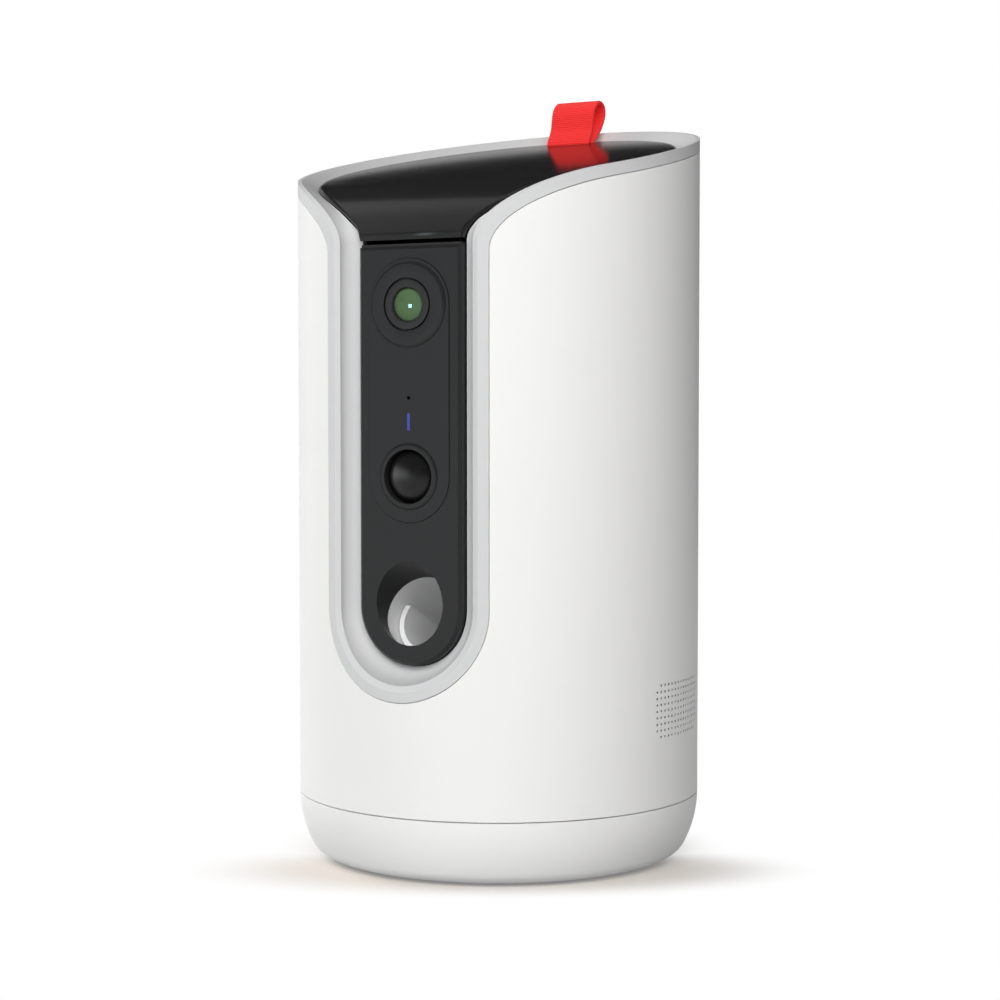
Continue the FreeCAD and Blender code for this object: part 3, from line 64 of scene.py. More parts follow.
# ---- camera ----
# Stands at the front right, a little above the middle of the housing, and looks slightly down.
# Its long lens keeps the upright sides nearly parallel.
FOCAL_SHARE, SENSOR = 2.17809, 36.0
CAMERA_PLACE, LOOK_DOWN, LOOK_ROUND = (0.30681, -0.56815, 0.13426), 0.046406, 0.494600
scene = bpy.context.scene
camera = bpy.data.objects.new("camera", bpy.data.cameras.new("camera"))
scene.collection.objects.link(camera)
camera.location = CAMERA_PLACE
camera.rotation_euler = (math.pi / 2 - LOOK_DOWN, 0, LOOK_ROUND)
camera.data.sensor_width = SENSOR
camera.data.lens = FOCAL_SHARE * SENSOR
camera.data.clip_start = 0.01
scene.camera = camera

# ---- floor, backdrop and light ----
# A pale paper sweep that reads as white behind the object and holds a soft shadow, partly cast by the lamps
# and partly painted.
# A key softbox at the front right, a wide one on the left, and a small one that glossy parts mirror.
ROOM_TONE, ROOM_STRENGTH = (0.97, 0.98, 1.0, 1), 0.055
WHITE, CEILING, OVERHEAD = (1, 1, 1, 1), (0.05, 0.05, 0.05, 1), (0.16, 0.16, 0.16, 1)
FLOOR_R = 1.6
PAPER, PAPER_SHADOW_TINT = (0.56, 0.56, 0.56, 1), (0.68, 0.61, 0.54, 1)
SHADOW_AHEAD, SHADOW_HALF_LONG, SHADOW_HALF_DEEP, CONTACT_R = -0.029, 0.097, 0.040, 0.072
SHADOW_FULL, SHADOW_LEAST_WHITE = 0.42, 0.20
MIDDLE_HIGH = 0.11
scene.view_settings.view_transform = "Standard"


def feed(tree, node, inputs):
    """Gives each input of a node a plain value, an output, or another node's first output in use."""
    for socket, source in inputs.items():
        if isinstance(source, bpy.types.Node):
            source = next(output for output in source.outputs if output.enabled)
        if isinstance(source, bpy.types.NodeSocket):
            tree.links.new(source, node.inputs[socket])
        else:
            node.inputs[socket].default_value = source


def placed(tree, kind, inputs=None, **settings):
    """Adds a shader node with its settings and inputs to a tree."""
    node = tree.nodes.new("ShaderNode" + kind)
    for name, value in settings.items():
        setattr(node, name, value)
    feed(tree, node, inputs or {})
    return node


def maths(tree, operation, *terms):
    """Adds a Math node over values, outputs or nodes."""
    return placed(tree, "Math", dict(enumerate(terms)), operation=operation)


def ranged(tree, value, given, wanted, ease="LINEAR"):
    """Carries a value from one range over to another."""
    ends = {"From Min": given[0], "From Max": given[1], "To Min": wanted[0], "To Max": wanted[1]}
    return placed(tree, "MapRange", {"Value": value, **ends}, interpolation_type=ease)


def mixed(tree, factor, first, second):
    """Mixes two colours."""
    return placed(tree, "Mix", {"Factor": factor, "A": first, "B": second}, data_type="RGBA")


def backdrop_rays(tree):
    """The kinds of ray, and a mask that is 1 where one shows the backdrop: direct, in gloss or in glass."""
    rays = placed(tree, "LightPath").outputs
    shown = rays["Is Camera Ray"]
    for kind in ("Is Glossy Ray", "Is Transmission Ray"):
        shown = maths(tree, "MAXIMUM", shown, rays[kind])
    return rays, shown


world = bpy.data.worlds.new("studio")
scene.world = world
world.use_nodes = True
studio = world.node_tree
room = studio.nodes["Background"]
feed(studio, room, {"Color": ROOM_TONE, "Strength": ROOM_STRENGTH})
rays, shown = backdrop_rays(studio)
# What gloss mirrors is white up to the horizon, a dim ceiling above it, darker on the right and behind.
heading = placed(studio, "SeparateXYZ", {"Vector": placed(studio, "TexCoord").outputs["Generated"]}).outputs
ceiling = placed(studio, "ValToRGB", {"Fac": heading["Z"]})
ceiling.color_ramp.interpolation = "EASE"
for stop, position, tone in ((0, 0.02, WHITE), (1, 0.20, CEILING)):
    ceiling.color_ramp.elements[stop].position = position
    ceiling.color_ramp.elements[stop].color = tone
ceiling.color_ramp.elements.new(0.80).color = OVERHEAD
right_side = ranged(studio, heading["X"], (0.0, 0.85), (1.0, 0.10), "SMOOTHSTEP")
far_side = ranged(studio, heading["Y"], (0.0, 0.65), (1.0, 0.35), "SMOOTHSTEP")
shaded = maths(studio, "MULTIPLY", right_side, far_side)
dimmed = placed(studio, "VectorMath", {0: ceiling.outputs["Color"], "Scale": shaded}, operation="SCALE")
seen = placed(studio, "Background", {"Color": mixed(studio, rays["Is Glossy Ray"], WHITE, dimmed)})
choice = placed(studio, "MixShader", {"Fac": shown, 1: room, 2: seen})
feed(studio, studio.nodes["World Output"], {"Surface": choice})

floor_form = bmesh.new()
bmesh.ops.create_circle(floor_form, cap_ends=True, segments=96, radius=FLOOR_R)
floor_mesh = bpy.data.meshes.new("floor")
floor_form.to_mesh(floor_mesh)
floor_form.free()
floor = bpy.data.objects.new("floor", floor_mesh)
scene.collection.objects.link(floor)
white_paper = bpy.data.materials.new("white_paper")
white_paper.use_nodes = True
floor_mesh.materials.append(white_paper)
paper = white_paper.node_tree
matt = paper.nodes["Principled BSDF"]
rays, shown = backdrop_rays(paper)
# The camera sees the paper with a warm tint, a painted brown tint for its shadow; bounced light sees it
# neutral.
feed(paper, matt, {"Base Color": mixed(paper, rays["Is Camera Ray"], PAPER, PAPER_SHADOW_TINT),
                   "Roughness": 0.9, "Specular IOR Level": 0.1})
# The shadow is partly painted: inside an ellipse laid square to the camera, and a circle round the base, the
# camera sees the shaded paper; away from them the paper fades into the white surroundings.
shadow_place = (-SHADOW_AHEAD * math.sin(LOOK_ROUND), SHADOW_AHEAD * math.cos(LOOK_ROUND), 0)
where = placed(paper, "TexCoord").outputs["Object"]
reaches = []
for place, turn, half_long, half_deep in ((shadow_place, LOOK_ROUND, SHADOW_HALF_LONG, SHADOW_HALF_DEEP),
                                          ((0, 0, 0), 0, CONTACT_R, CONTACT_R)):
    spread = placed(paper, "Mapping", {"Vector": where, "Location": place, "Rotation": (0, 0, turn),
                                       "Scale": (half_long, half_deep, 1)}, vector_type="TEXTURE")
    reaches.append(placed(paper, "VectorMath", {0: spread}, operation="LENGTH"))
nearest = maths(paper, "MINIMUM", *reaches)
fade = ranged(paper, nearest, (SHADOW_FULL, 1.0), (SHADOW_LEAST_WHITE, 1.0), "SMOOTHERSTEP")
glow = placed(paper, "Emission", {"Strength": 1.0})
over = placed(paper, "MixShader", {"Fac": maths(paper, "MULTIPLY", shown, fade), 1: matt, 2: glow})
feed(paper, paper.nodes["Material Output"], {"Surface": over})


def soft_light(name, azimuth, elevation, distance, width, height, power, mirrored=False, tint=(1, 1, 1)):
    """A softbox that faces the middle of the object from the given side."""
    data = bpy.data.lights.new(name, "AREA")
    data.shape = "RECTANGLE"
    data.size = width
    data.size_y = height
    data.energy = power
    data.color = tint
    lamp = bpy.data.objects.new(name, data)
    a, e = math.radians(azimuth), math.radians(elevation)
    away = Vector((math.sin(a) * math.cos(e), -math.cos(a) * math.cos(e), math.sin(e)))
    lamp.location = Vector((0, 0, MIDDLE_HIGH)) + away * distance
    lamp.rotation_euler = away.to_track_quat("Z", "Y").to_euler()
    lamp.visible_glossy = mirrored
    scene.collection.objects.link(lamp)
    return lamp


def only_on(lamp, piece):
    """Lets a softbox's reflection fall on one piece alone, as a flag or snoot does in the studio."""
    lamp.visible_diffuse = False
    lamp.light_linking.receiver_collection = bpy.data.collections.new(lamp.name)
    lamp.light_linking.receiver_collection.objects.link(piece)


soft_light("key_box", 24, 32, 1.6, 1.5, 1.1, 28.0)
soft_light("side_box", -100, 20, 1.6, 1.0, 1.2, 25.2)
soft_light("eye_box", -21, 4, 1.2, 0.17, 0.17, 0.35, mirrored=True, tint=(0.75, 1.0, 0.95))

# ---- base cup ----
# White bowl moulded in one piece; the housing's tube stands on it with a fine parting line.
# A spigot inside its rim centres the tube, and a groove under its flat bottom takes the rubber ring.
MM = 0.001
HOUSING_R = 59.0
BASE_TOP, BASE_LOW, BASE_FLAT_R, BASE_TOE_R, BASE_EDGE = 18.9, 0.8, 50.0, 6.0, 0.25
SPIGOT_IN, SPIGOT_OUT, SPIGOT_TOP = 53.0, 56.9, 22.2
BOWL_FLOOR, BOWL_FLOOR_R, BOWL_HEEL = 3.0, 50.0, 8.0
FOOT_RING_R, FOOT_RING_INNER, FOOT_RING_HIGH = 47.0, 41.0, 2.0
SCREW_CIRCLE, SCREW_RECESS_R, SCREW_RECESS, RECESS_DEEP = 33.0, 2.9, 3.6, 2.0
SIDE_STEPS, SIDE_START, TOE_STEPS = 28, 0.15, 20
VARYING = {"Colour": "Base Color", "Roughness": "Roughness", "Metal": "Metallic", "Normal": "Normal"}


def effect_group(name, inputs, outputs=("Colour", "Roughness", "Normal")):
    """An empty node group with named sockets: its tree, what it is given, and where its result goes."""
    tree = bpy.data.node_groups.new(name, "ShaderNodeTree")
    kinds = {"Colour": "NodeSocketColor", "Valley Shade": "NodeSocketColor", "Lines": "NodeSocketVector",
             "Normal": "NodeSocketVector"}
    for side, labels in (("INPUT", inputs), ("OUTPUT", outputs)):
        for label in labels:
            tree.interface.new_socket(label, in_out=side, socket_type=kinds.get(label, "NodeSocketFloat"))
    return tree, tree.nodes.new("NodeGroupInput").outputs, tree.nodes.new("NodeGroupOutput")


def toned(tree, given, tone):
    """The group's given colour and roughness, carried up and down by a tone."""
    shade = placed(tree, "HueSaturation", {"Color": given["Colour"], "Value": tone})
    return {"Colour": shade, "Roughness": maths(tree, "MULTIPLY", given["Roughness"], tone)}


def moulded_surface():
    """Surface of a moulded part: fine grain from the tool and a faint unevenness of tone."""
    tree, given, result = effect_group(
        "moulded_surface", ("Colour", "Mottle", "Roughness", "Grain Scale", "Grain Depth"))
    where = placed(tree, "TexCoord").outputs["Object"]
    cloud = placed(tree, "TexNoise", {"Vector": where, "Scale": 35.0, "Detail": 3.0}).outputs["Fac"]
    grain = placed(tree, "TexNoise", {"Vector": where, "Scale": given["Grain Scale"], "Detail": 2.0})
    tone = maths(tree, "MULTIPLY_ADD", maths(tree, "SUBTRACT", cloud, 0.5), given["Mottle"], 1.0)
    bump = placed(tree, "Bump", {"Distance": 0.0001, "Strength": given["Grain Depth"],
                                 "Height": grain.outputs["Fac"]})
    feed(tree, result, {**toned(tree, given, tone), "Normal": bump})
    return tree


MOULDED = moulded_surface()


def finish(name, group, group_values, shader_values):
    """A material: the group gives what varies over the surface, the shader's own sockets the rest."""
    material = bpy.data.materials.new(name)
    material.use_nodes = True
    tree = material.node_tree
    surface = placed(tree, "Group", group_values, node_tree=group)
    shader = tree.nodes["Principled BSDF"]
    feed(tree, shader, {VARYING[output.name]: output for output in surface.outputs})
    feed(tree, shader, shader_values)
    return material


def grained(name, colour, roughness, grain=2600.0, depth=0.08, mottle=0.04, **shader_values):
    """A finish with tool grain; the shader values are named like the shader's own sockets."""
    return finish(name, MOULDED, {"Colour": (*colour, 1), "Mottle": mottle, "Roughness": roughness,
                                  "Grain Scale": grain, "Grain Depth": depth},
                  {label.replace("_", " "): value for label, value in shader_values.items()})


def smooth_skin(mesh, sharp):
    """Smooth shading that breaks at edges over the given angle."""
    mesh.shade_smooth()
    mesh.set_sharp_from_angle(angle=math.radians(sharp))


def mesh_of(form, name):
    """The mesh, in metres, of a form that was modelled in millimetres."""
    bmesh.ops.scale(form, vec=(MM, MM, MM), verts=form.verts)
    mesh = bpy.data.meshes.new(name)
    form.to_mesh(mesh)
    form.free()
    return mesh


def add_piece(mesh, name, body, replaced, material):
    """Puts a mesh into the scene as a piece of the object, in place of the nodes it replaces."""
    piece = bpy.data.objects.new(name, mesh)
    scene.collection.objects.link(piece)
    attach(piece, body)
    if replaced:
        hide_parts(*replaced)
    mesh.materials.append(material)
    return piece


def finish_form(form, name, body, slot, *replaced, material, sharp=32.0):
    """Turns a form modelled in millimetres into a piece of the object."""
    mesh = mesh_of(form, name)
    smooth_skin(mesh, sharp)
    return add_piece(mesh, name, body, replaced, material)


def chain(form, points, closed=False):
    """Vertices joined by edges, in order."""
    verts = [form.verts.new(p) for p in points]
    pairs = list(zip(verts, verts[1:]))
    if closed:
        pairs.append((verts[-1], verts[0]))
    edges = [form.edges.new(pair) for pair in pairs]
    return verts, edges


def turned_form(profile, steps=180):
    """A closed round form, turned from a half section of (radius, height) points."""
    form = bmesh.new()
    verts, edges = chain(form, [(r, 0, z) for r, z in profile])
    bmesh.ops.spin(form, geom=verts + edges, cent=(0, 0, 0), axis=(0, 0, 1), angle=2 * math.pi,
                   steps=steps, use_merge=True)
    bmesh.ops.remove_doubles(form, verts=form.verts, dist=0.0005)
    bmesh.ops.recalc_face_normals(form, faces=form.faces)
    return form


def bend(start, corner, end, t):
    """The point at t of the curve that rounds a corner off between two points."""
    return (1 - t) ** 2 * start + 2 * t * (1 - t) * corner + t * t * end


def rounded(corner, before, after, radius, steps=4):
    """Points of a small round between two straight runs of a section."""
    c, a, b = Vector(corner), Vector(before), Vector(after)
    into, out = (a - c).normalized(), (b - c).normalized()
    half = into.angle(out) / 2
    reach = min(radius / math.tan(half), (a - c).length * 0.49, (b - c).length * 0.49)
    return [tuple(bend(c + into * reach, c, c + out * reach, i / steps)) for i in range(steps + 1)]


def section(points, radii):
    """A section whose corners are rounded by the given radii, by their place in the list."""
    run = [tuple(points[0])]
    for i in range(1, len(points) - 1):
        if radii.get(i):
            run += rounded(points[i], points[i - 1], points[i + 1], radii[i])
        else:
            run.append(tuple(points[i]))
    return run + [tuple(points[-1])]


def work_on(piece, form, operation="DIFFERENCE", solver="EXACT", painted_wall_shade=None):
    """Cuts a form in millimetres out of a piece, or joins it on; a cut's walls can take a darker material as
    painted shade.
    """
    tool_mesh = mesh_of(form, "tool")
    tool = bpy.data.objects.new("tool", tool_mesh)
    scene.collection.objects.link(tool)
    change = piece.modifiers.new("work", "BOOLEAN")
    change.operation = operation
    change.solver = solver
    change.object = tool
    # The cut's walls take the tool's material: painted shade inside the cut.
    if painted_wall_shade:
        tool_mesh.materials.append(painted_wall_shade)
        change.material_mode = "TRANSFER"
    shape = piece.evaluated_get(bpy.context.evaluated_depsgraph_get())
    mesh = bpy.data.meshes.new_from_object(shape)
    piece.modifiers.clear()
    piece.data = mesh
    smooth_skin(mesh, 32)
    bpy.data.objects.remove(tool)
    bpy.data.meshes.remove(tool_mesh)


def rod_into(form, radius, start, end, segments=64):
    """Adds a closed round bar between two points to a form."""
    a, b = Vector(start), Vector(end)
    turn = (b - a).to_track_quat("Z", "Y").to_matrix().to_4x4()
    bmesh.ops.create_cone(form, cap_ends=True, segments=segments, radius1=radius, radius2=radius,
                          depth=(b - a).length, matrix=Matrix.Translation((a + b) / 2) @ turn)


reach, rise = HOUSING_R - BASE_FLAT_R, BASE_TOP - BASE_LOW
side_r = (reach ** 2 + rise ** 2 - 2 * rise * BASE_TOE_R) / (2 * (reach - BASE_TOE_R))
toe_turn = math.atan2(rise - BASE_TOE_R, side_r - reach)
bowl = [(SPIGOT_IN, SPIGOT_TOP), (SPIGOT_OUT, SPIGOT_TOP), (SPIGOT_OUT, BASE_TOP),
        (HOUSING_R - BASE_EDGE, BASE_TOP)]
for i in range(SIDE_STEPS):
    a = toe_turn * (i + SIDE_START) / SIDE_STEPS
    bowl.append((HOUSING_R - side_r + side_r * math.cos(a), BASE_TOP - side_r * math.sin(a)))
for i in range(TOE_STEPS + 1):
    a = toe_turn + (math.pi / 2 - toe_turn) * i / TOE_STEPS
    bowl.append((BASE_FLAT_R + BASE_TOE_R * math.cos(a),
                 BASE_LOW + BASE_TOE_R - BASE_TOE_R * math.sin(a)))
bowl += [(FOOT_RING_R, BASE_LOW), (FOOT_RING_R, FOOT_RING_HIGH), (FOOT_RING_INNER, FOOT_RING_HIGH),
         (FOOT_RING_INNER, BASE_LOW), (0, BASE_LOW), (0, BOWL_FLOOR), (BOWL_FLOOR_R, BOWL_FLOOR),
         (SPIGOT_IN, BOWL_HEEL), (SPIGOT_IN, SPIGOT_TOP)]
white = grained("satin_white", (0.84, 0.835, 0.825), 0.5, depth=0.05, mottle=0.02, Specular_IOR_Level=0.25)
cup = finish_form(turned_form(bowl), "bowl_base", "housing", "shell_white", "base_cup", material=white)
screw_spots = []
for i in range(4):
    a = math.pi / 2 * (i + 0.5)
    screw_spots.append((SCREW_CIRCLE * math.cos(a), SCREW_CIRCLE * math.sin(a)))
recesses = bmesh.new()
for x, y in screw_spots:
    rod_into(recesses, SCREW_RECESS_R, (x, y, -1), (x, y, BASE_LOW + RECESS_DEEP), 40)
work_on(cup, recesses)

# ---- foot ring ----
# Black rubber ring pressed into the groove under the bowl; the camera stands on it.
# Its lower edges are rounded and its skin is matt and slightly uneven.
FOOT_ROUND, SNUG = 0.5, 0.05
black_rubber = grained("black_rubber", (0.022, 0.022, 0.022), 0.8, grain=1400.0, depth=0.35, mottle=0.12,
                       Specular_IOR_Level=0.25)
ring_section = section([(FOOT_RING_INNER + SNUG, FOOT_RING_HIGH), (FOOT_RING_INNER + SNUG, 0),
                        (FOOT_RING_R - SNUG, 0), (FOOT_RING_R - SNUG, FOOT_RING_HIGH),
                        (FOOT_RING_INNER + SNUG, FOOT_RING_HIGH)], {1: FOOT_ROUND, 2: FOOT_ROUND})
finish_form(turned_form(ring_section), "rubber_foot", "housing", "foot_rubber", "foot_ring",
            material=black_rubber)

# ---- base screws ----
# Four zinc-plated pan head screws with cross recesses, driven up into the floor of the inner frame.
# Their heads lie sunk in the bowl's flat bottom, inside the rubber ring.
BASE_HEAD_R, BASE_HEAD_HIGH, BASE_CROSS_HALF = 2.8, 1.8, 1.6
SHANK_R, THREAD_PITCH, THREAD_DEPTH, THREAD_PLAIN = 1.2, 0.6, 0.2, 1.0
HEAD_EDGE_ROUND, HEAD_DOME_SHARE, CROSS_WIDTH, CROSS_DEPTH = 0.15, 0.45, 0.6, 0.9
FRAME_FLOOR_TOP = 12.0


def worked_metal():
    """Surface of machined metal: fine tool lines round or along the part, and a slight unevenness."""
    tree, given, result = effect_group("worked_metal", ("Colour", "Roughness", "Lines", "Line Depth"))
    where = placed(tree, "TexCoord").outputs["Object"]
    stretched = placed(tree, "VectorMath", {0: where, 1: given["Lines"]}, operation="MULTIPLY")
    lines = placed(tree, "TexNoise", {"Vector": stretched, "Scale": 1.0, "Detail": 2.0}).outputs["Fac"]
    tone = ranged(tree, lines, (0.0, 1.0), (0.82, 1.12))
    bump = placed(tree, "Bump", {"Distance": 0.00005, "Strength": given["Line Depth"], "Height": lines})
    feed(tree, result, {**toned(tree, given, tone), "Normal": bump})
    return tree


METAL = worked_metal()


def metal(name, colour, roughness, lines=(900.0, 900.0, 9000.0), depth=0.25):
    """Bare or plated metal; `lines` is how fine the tool marks are along X, Y and Z."""
    return finish(name, METAL, {"Colour": (*colour, 1), "Roughness": roughness, "Lines": lines,
                                "Line Depth": depth}, {"Metallic": 1.0})


def box_into(form, low, high, placing=Matrix()):
    """Adds a closed block between two corners to a form, put in place by a matrix."""
    size = Vector(high) - Vector(low)
    middle = (Vector(high) + Vector(low)) / 2
    block = placing @ Matrix.Translation(middle) @ Matrix.Diagonal((*size, 1))
    bmesh.ops.create_cube(form, size=1.0, matrix=block)


def gather(form, other, placings):
    """Adds one copy of another form for each placing matrix."""
    mesh = bpy.data.meshes.new("copy")
    other.to_mesh(mesh)
    other.free()
    for placing in placings:
        before = set(form.verts)
        form.from_mesh(mesh)
        bmesh.ops.transform(form, matrix=placing, verts=[vert for vert in form.verts if vert not in before])
    bpy.data.meshes.remove(mesh)


zinc = metal("plated_steel", (0.55, 0.56, 0.57), 0.30, lines=(1500.0, 1500.0, 1500.0), depth=0.2)


def cross_screws(name, node, seats, outward, head_r, head_high, cross_half, length):
    """Pan head screws in one node: threaded shank, rounded head and cross recess on each."""
    shank = [(0, -length), (SHANK_R - 2 * THREAD_DEPTH, -length)]
    for i in range(int((length - THREAD_PLAIN) / THREAD_PITCH)):
        z = THREAD_PITCH * (i + 0.5) - length
        shank += [(SHANK_R - THREAD_DEPTH, z), (SHANK_R, z + THREAD_PITCH / 2)]
    shank += [(SHANK_R, 0)]
    head = section([(SHANK_R, 0), (head_r, 0), (head_r, head_high), (0, head_high)],
                   {1: HEAD_EDGE_ROUND, 2: HEAD_DOME_SHARE * head_high})
    turn = Vector(outward).to_track_quat("Z", "Y").to_matrix().to_4x4()
    placings = [Matrix.Translation(seat) @ turn for seat in seats]
    form = bmesh.new()
    gather(form, turned_form(shank + head[1:], 32), placings)
    piece = finish_form(form, name, "housing", "screw_steel", node, material=zinc)
    for along, across in ((cross_half, CROSS_WIDTH / 2), (CROSS_WIDTH / 2, cross_half)):
        recess = bmesh.new()
        low, high = (-along, -across, head_high - CROSS_DEPTH), (along, across, head_high + 1)
        for placing in placings:
            box_into(recess, low, high, placing)
        work_on(piece, recess)


base_seats = [(x, y, BASE_LOW + SCREW_RECESS) for x, y in screw_spots]
cross_screws("bottom_screws", "base_screws", base_seats, (0, 0, -1), BASE_HEAD_R, BASE_HEAD_HIGH,
             BASE_CROSS_HALF, FRAME_FLOOR_TOP - BASE_LOW - SCREW_RECESS)

# ---- ballast plate ----
# Cast iron disc in the bottom of the bowl, held between the screw bosses; its weight keeps the
# tall housing upright when a dog pushes it. Rough cast, with small rounds on its edges.


def soften(piece, width, angle=35.0):
    """Small rounds on the sharp edges, as a tool leaves them."""
    change = piece.modifiers.new("soft_edges", "BEVEL")
    change.width = width * MM
    change.segments = 2
    change.limit_method = "ANGLE"
    change.angle_limit = math.radians(angle)
    change.harden_normals = True


def smoothed_copy(node, name, material, bevel=0.0):
    """A merged, smooth-shaded copy of a rigid part, with small rounds on its edges where asked."""
    form = bmesh.new()
    form.from_mesh(nodes[node].data)
    bmesh.ops.remove_doubles(form, verts=form.verts, dist=0.000002)
    bmesh.ops.dissolve_limit(form, angle_limit=math.radians(0.8), verts=form.verts, edges=form.edges)
    mesh = bpy.data.meshes.new(name)
    form.to_mesh(mesh)
    form.free()
    smooth_skin(mesh, 30)
    piece = add_piece(mesh, name, nodes[node]["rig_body"], [node], material)
    if bevel:
        soften(piece, width=bevel, angle=40)
    return piece


cast_iron = grained("cast_iron", (0.05, 0.05, 0.052), 0.62, grain=700.0, depth=0.6, mottle=0.2, Metallic=0.7)
smoothed_copy("ballast_plate", "ballast_disc", cast_iron, bevel=0.35)

# ---- inner frame ----
# Grey moulding that everything hangs on: floor, upright front plate, deck and four posts.
# The bowl is screwed to its floor from below, and the panel and the tube are fixed to its plate.
moulded_grey = grained("moulded_grey", (0.16, 0.16, 0.165), 0.55, grain=2000.0, depth=0.12, mottle=0.05)
smoothed_copy("inner_frame", "inner_skeleton", moulded_grey, bevel=0.18)

# ---- outer shell ----
# White extruded tube, cut off at a slant, with the U-shaped slot and its flare in front.
# Drilled for the speaker low on its right side, and cut at the back for the power inlet and the button.
SHELL_TOP, SHELL_WALL, SLOPE, BASE_PARTING = 201.5, 1.8, 0.227, 0.34
SLOT_HALF, SLOT_CENTRE = 25.8, 76.6
FLARE_START, FLARE_RISE, FLARE_END, FLARE_REACH = 174.0, 8.0, 52.0, 16.0
FLARE_LATER, FLARE_LOWER, FLARE_NEARER = 0.65, 0.2, 0.5
FOOT_FLARE_START, FOOT_FLARE_RISE, FOOT_FLARE_END, FOOT_FLARE_REACH = 177.5, 5.5, 45.0, 15.0
FOOT_DEPTH, FOOT_R = 49.0, 53.0
ARC_STEPS, FLARE_STEPS, RIM_STEPS = 72, 32, 211
GRILLE_COLUMNS, GRILLE_ROWS, GRILLE_HOLE_R = 15, 9, 0.375
GRILLE_TURN, GRILLE_TURN_STEP, GRILLE_LOW, GRILLE_STEP = 77.2, 1.836, 39.3, 1.82
BACK_IN, BACK_OUT, BACK_Z = 50.0, 62.0, 30.0
INLET_X, INLET_WIDTH, INLET_HIGH, BUTTON_X, BUTTON_HOLE_R = -6.0, 9.4, 3.7, 8.0, 2.1
HOLES_LOW, HOLES_HIGH, HOLES_OUT, RIM_ANGLE, RIM_ROUND = 27.0, 56.0, 50.0, 50.0, 0.15


def flare(inset, height, radius, sink=0.0):
    """Curve from the slot's straight side to the slanted top, as (x, z) points seen from the front."""
    def between(near, far):
        return near + (far - near) * sink
    half = SLOT_HALF - inset
    start = between(FLARE_START + inset * FLARE_LATER, FOOT_FLARE_START)
    climb = between(FLARE_RISE - inset * FLARE_LOWER, FOOT_FLARE_RISE)
    end_x = between(FLARE_END - inset * FLARE_NEARER, FOOT_FLARE_END)
    run = between(FLARE_REACH, FOOT_FLARE_REACH)
    end_z = height - SLOPE * math.sqrt(radius ** 2 - end_x ** 2)
    near_z = end_z - run * SLOPE * end_x / math.sqrt(radius ** 2 - end_x ** 2)
    poles = [Vector(p) for p in ((half, start), (half, start + climb), (end_x - run, near_z), (end_x, end_z))]
    points = []
    for i in range(FLARE_STEPS + 1):
        t = i / FLARE_STEPS
        weights = ((1 - t) ** 3, 3 * t * (1 - t) ** 2, 3 * t * t * (1 - t), t ** 3)
        points.append(sum((w * p for w, p in zip(weights, poles)), Vector((0, 0))))
    return points


def depth_at(x, radius, sink, deeper=0.0):
    """How far forward a loop lies at x: on the outer cylinder, or sunk towards the slot's foot."""
    outer = -math.sqrt(radius ** 2 - x ** 2)
    if not sink:
        return outer
    inner = max(deeper - FOOT_DEPTH, -math.sqrt(FOOT_R ** 2 - x ** 2))
    return outer + (inner - outer) * sink


def slanted_arc(radius, start_turn, height, steps, picked):
    """Points round the back of a circle on the slant, from one side of the front to the other."""
    points = []
    for i in picked:
        a = start_turn + (2 * math.pi - 2 * start_turn) * i / steps
        y = -radius * math.cos(a)
        points.append(Vector((radius * math.sin(a), y, height + SLOPE * y)))
    return points


def opening_loop(inset, height, radius, sink=0.0, deeper=0.0):
    """Closed loop of points round the slot, its flare and the slanted rim."""
    half = SLOT_HALF - inset
    loop = []
    for i in range(ARC_STEPS + 1):
        a = math.pi * i / ARC_STEPS
        x = -half * math.cos(a)
        loop.append((x, depth_at(x, radius, sink, deeper), SLOT_CENTRE - half * math.sin(a)))
    side = [(x, depth_at(x, radius, sink, deeper), z)
            for x, z in flare(inset, height, radius + (FOOT_R - radius) * sink, sink)]
    end_x, end_y, end_z = side[-1]
    rim = slanted_arc(math.hypot(end_x, end_y), math.atan2(end_x, -end_y), height, RIM_STEPS,
                      range(1, RIM_STEPS))
    return loop + side + [tuple(p) for p in rim] + [(-x, y, z) for x, y, z in reversed(side)]


def draw_on(form, edges, points):
    """Extrudes a run of edges on to the next run of points and returns its new edges."""
    raised = bmesh.ops.extrude_edge_only(form, edges=edges)["geom"]
    fresh = [item for item in raised if isinstance(item, bmesh.types.BMVert)]
    for vert, point in zip(fresh, points):
        vert.co = point
    return [item for item in raised if isinstance(item, bmesh.types.BMEdge)]


def hang_wall(form, top_points, low):
    """Upright wall from one height up to a run of top points."""
    draw_on(form, chain(form, [(x, y, low) for x, y, z in top_points])[1], top_points)


def plane_cut(form, at, facing, drop_behind=False):
    """Cuts a form's faces along a plane, and can drop what lies behind it; returns the new edges."""
    cut = bmesh.ops.bisect_plane(form, geom=form.verts[:] + form.edges[:] + form.faces[:], plane_co=at,
                                 plane_no=facing, dist=1e-6, clear_inner=drop_behind)
    return [item for item in cut["geom_cut"] if isinstance(item, bmesh.types.BMEdge)]


def give_wall(form, face, outward, thickness):
    """Thickens a skin inwards, where `outward` points out of the given face of it."""
    if face.normal.dot(outward) < 0:
        bmesh.ops.reverse_faces(form, faces=form.faces)
    bmesh.ops.solidify(form, geom=form.faces[:], thickness=thickness)
    bmesh.ops.recalc_face_normals(form, faces=form.faces)


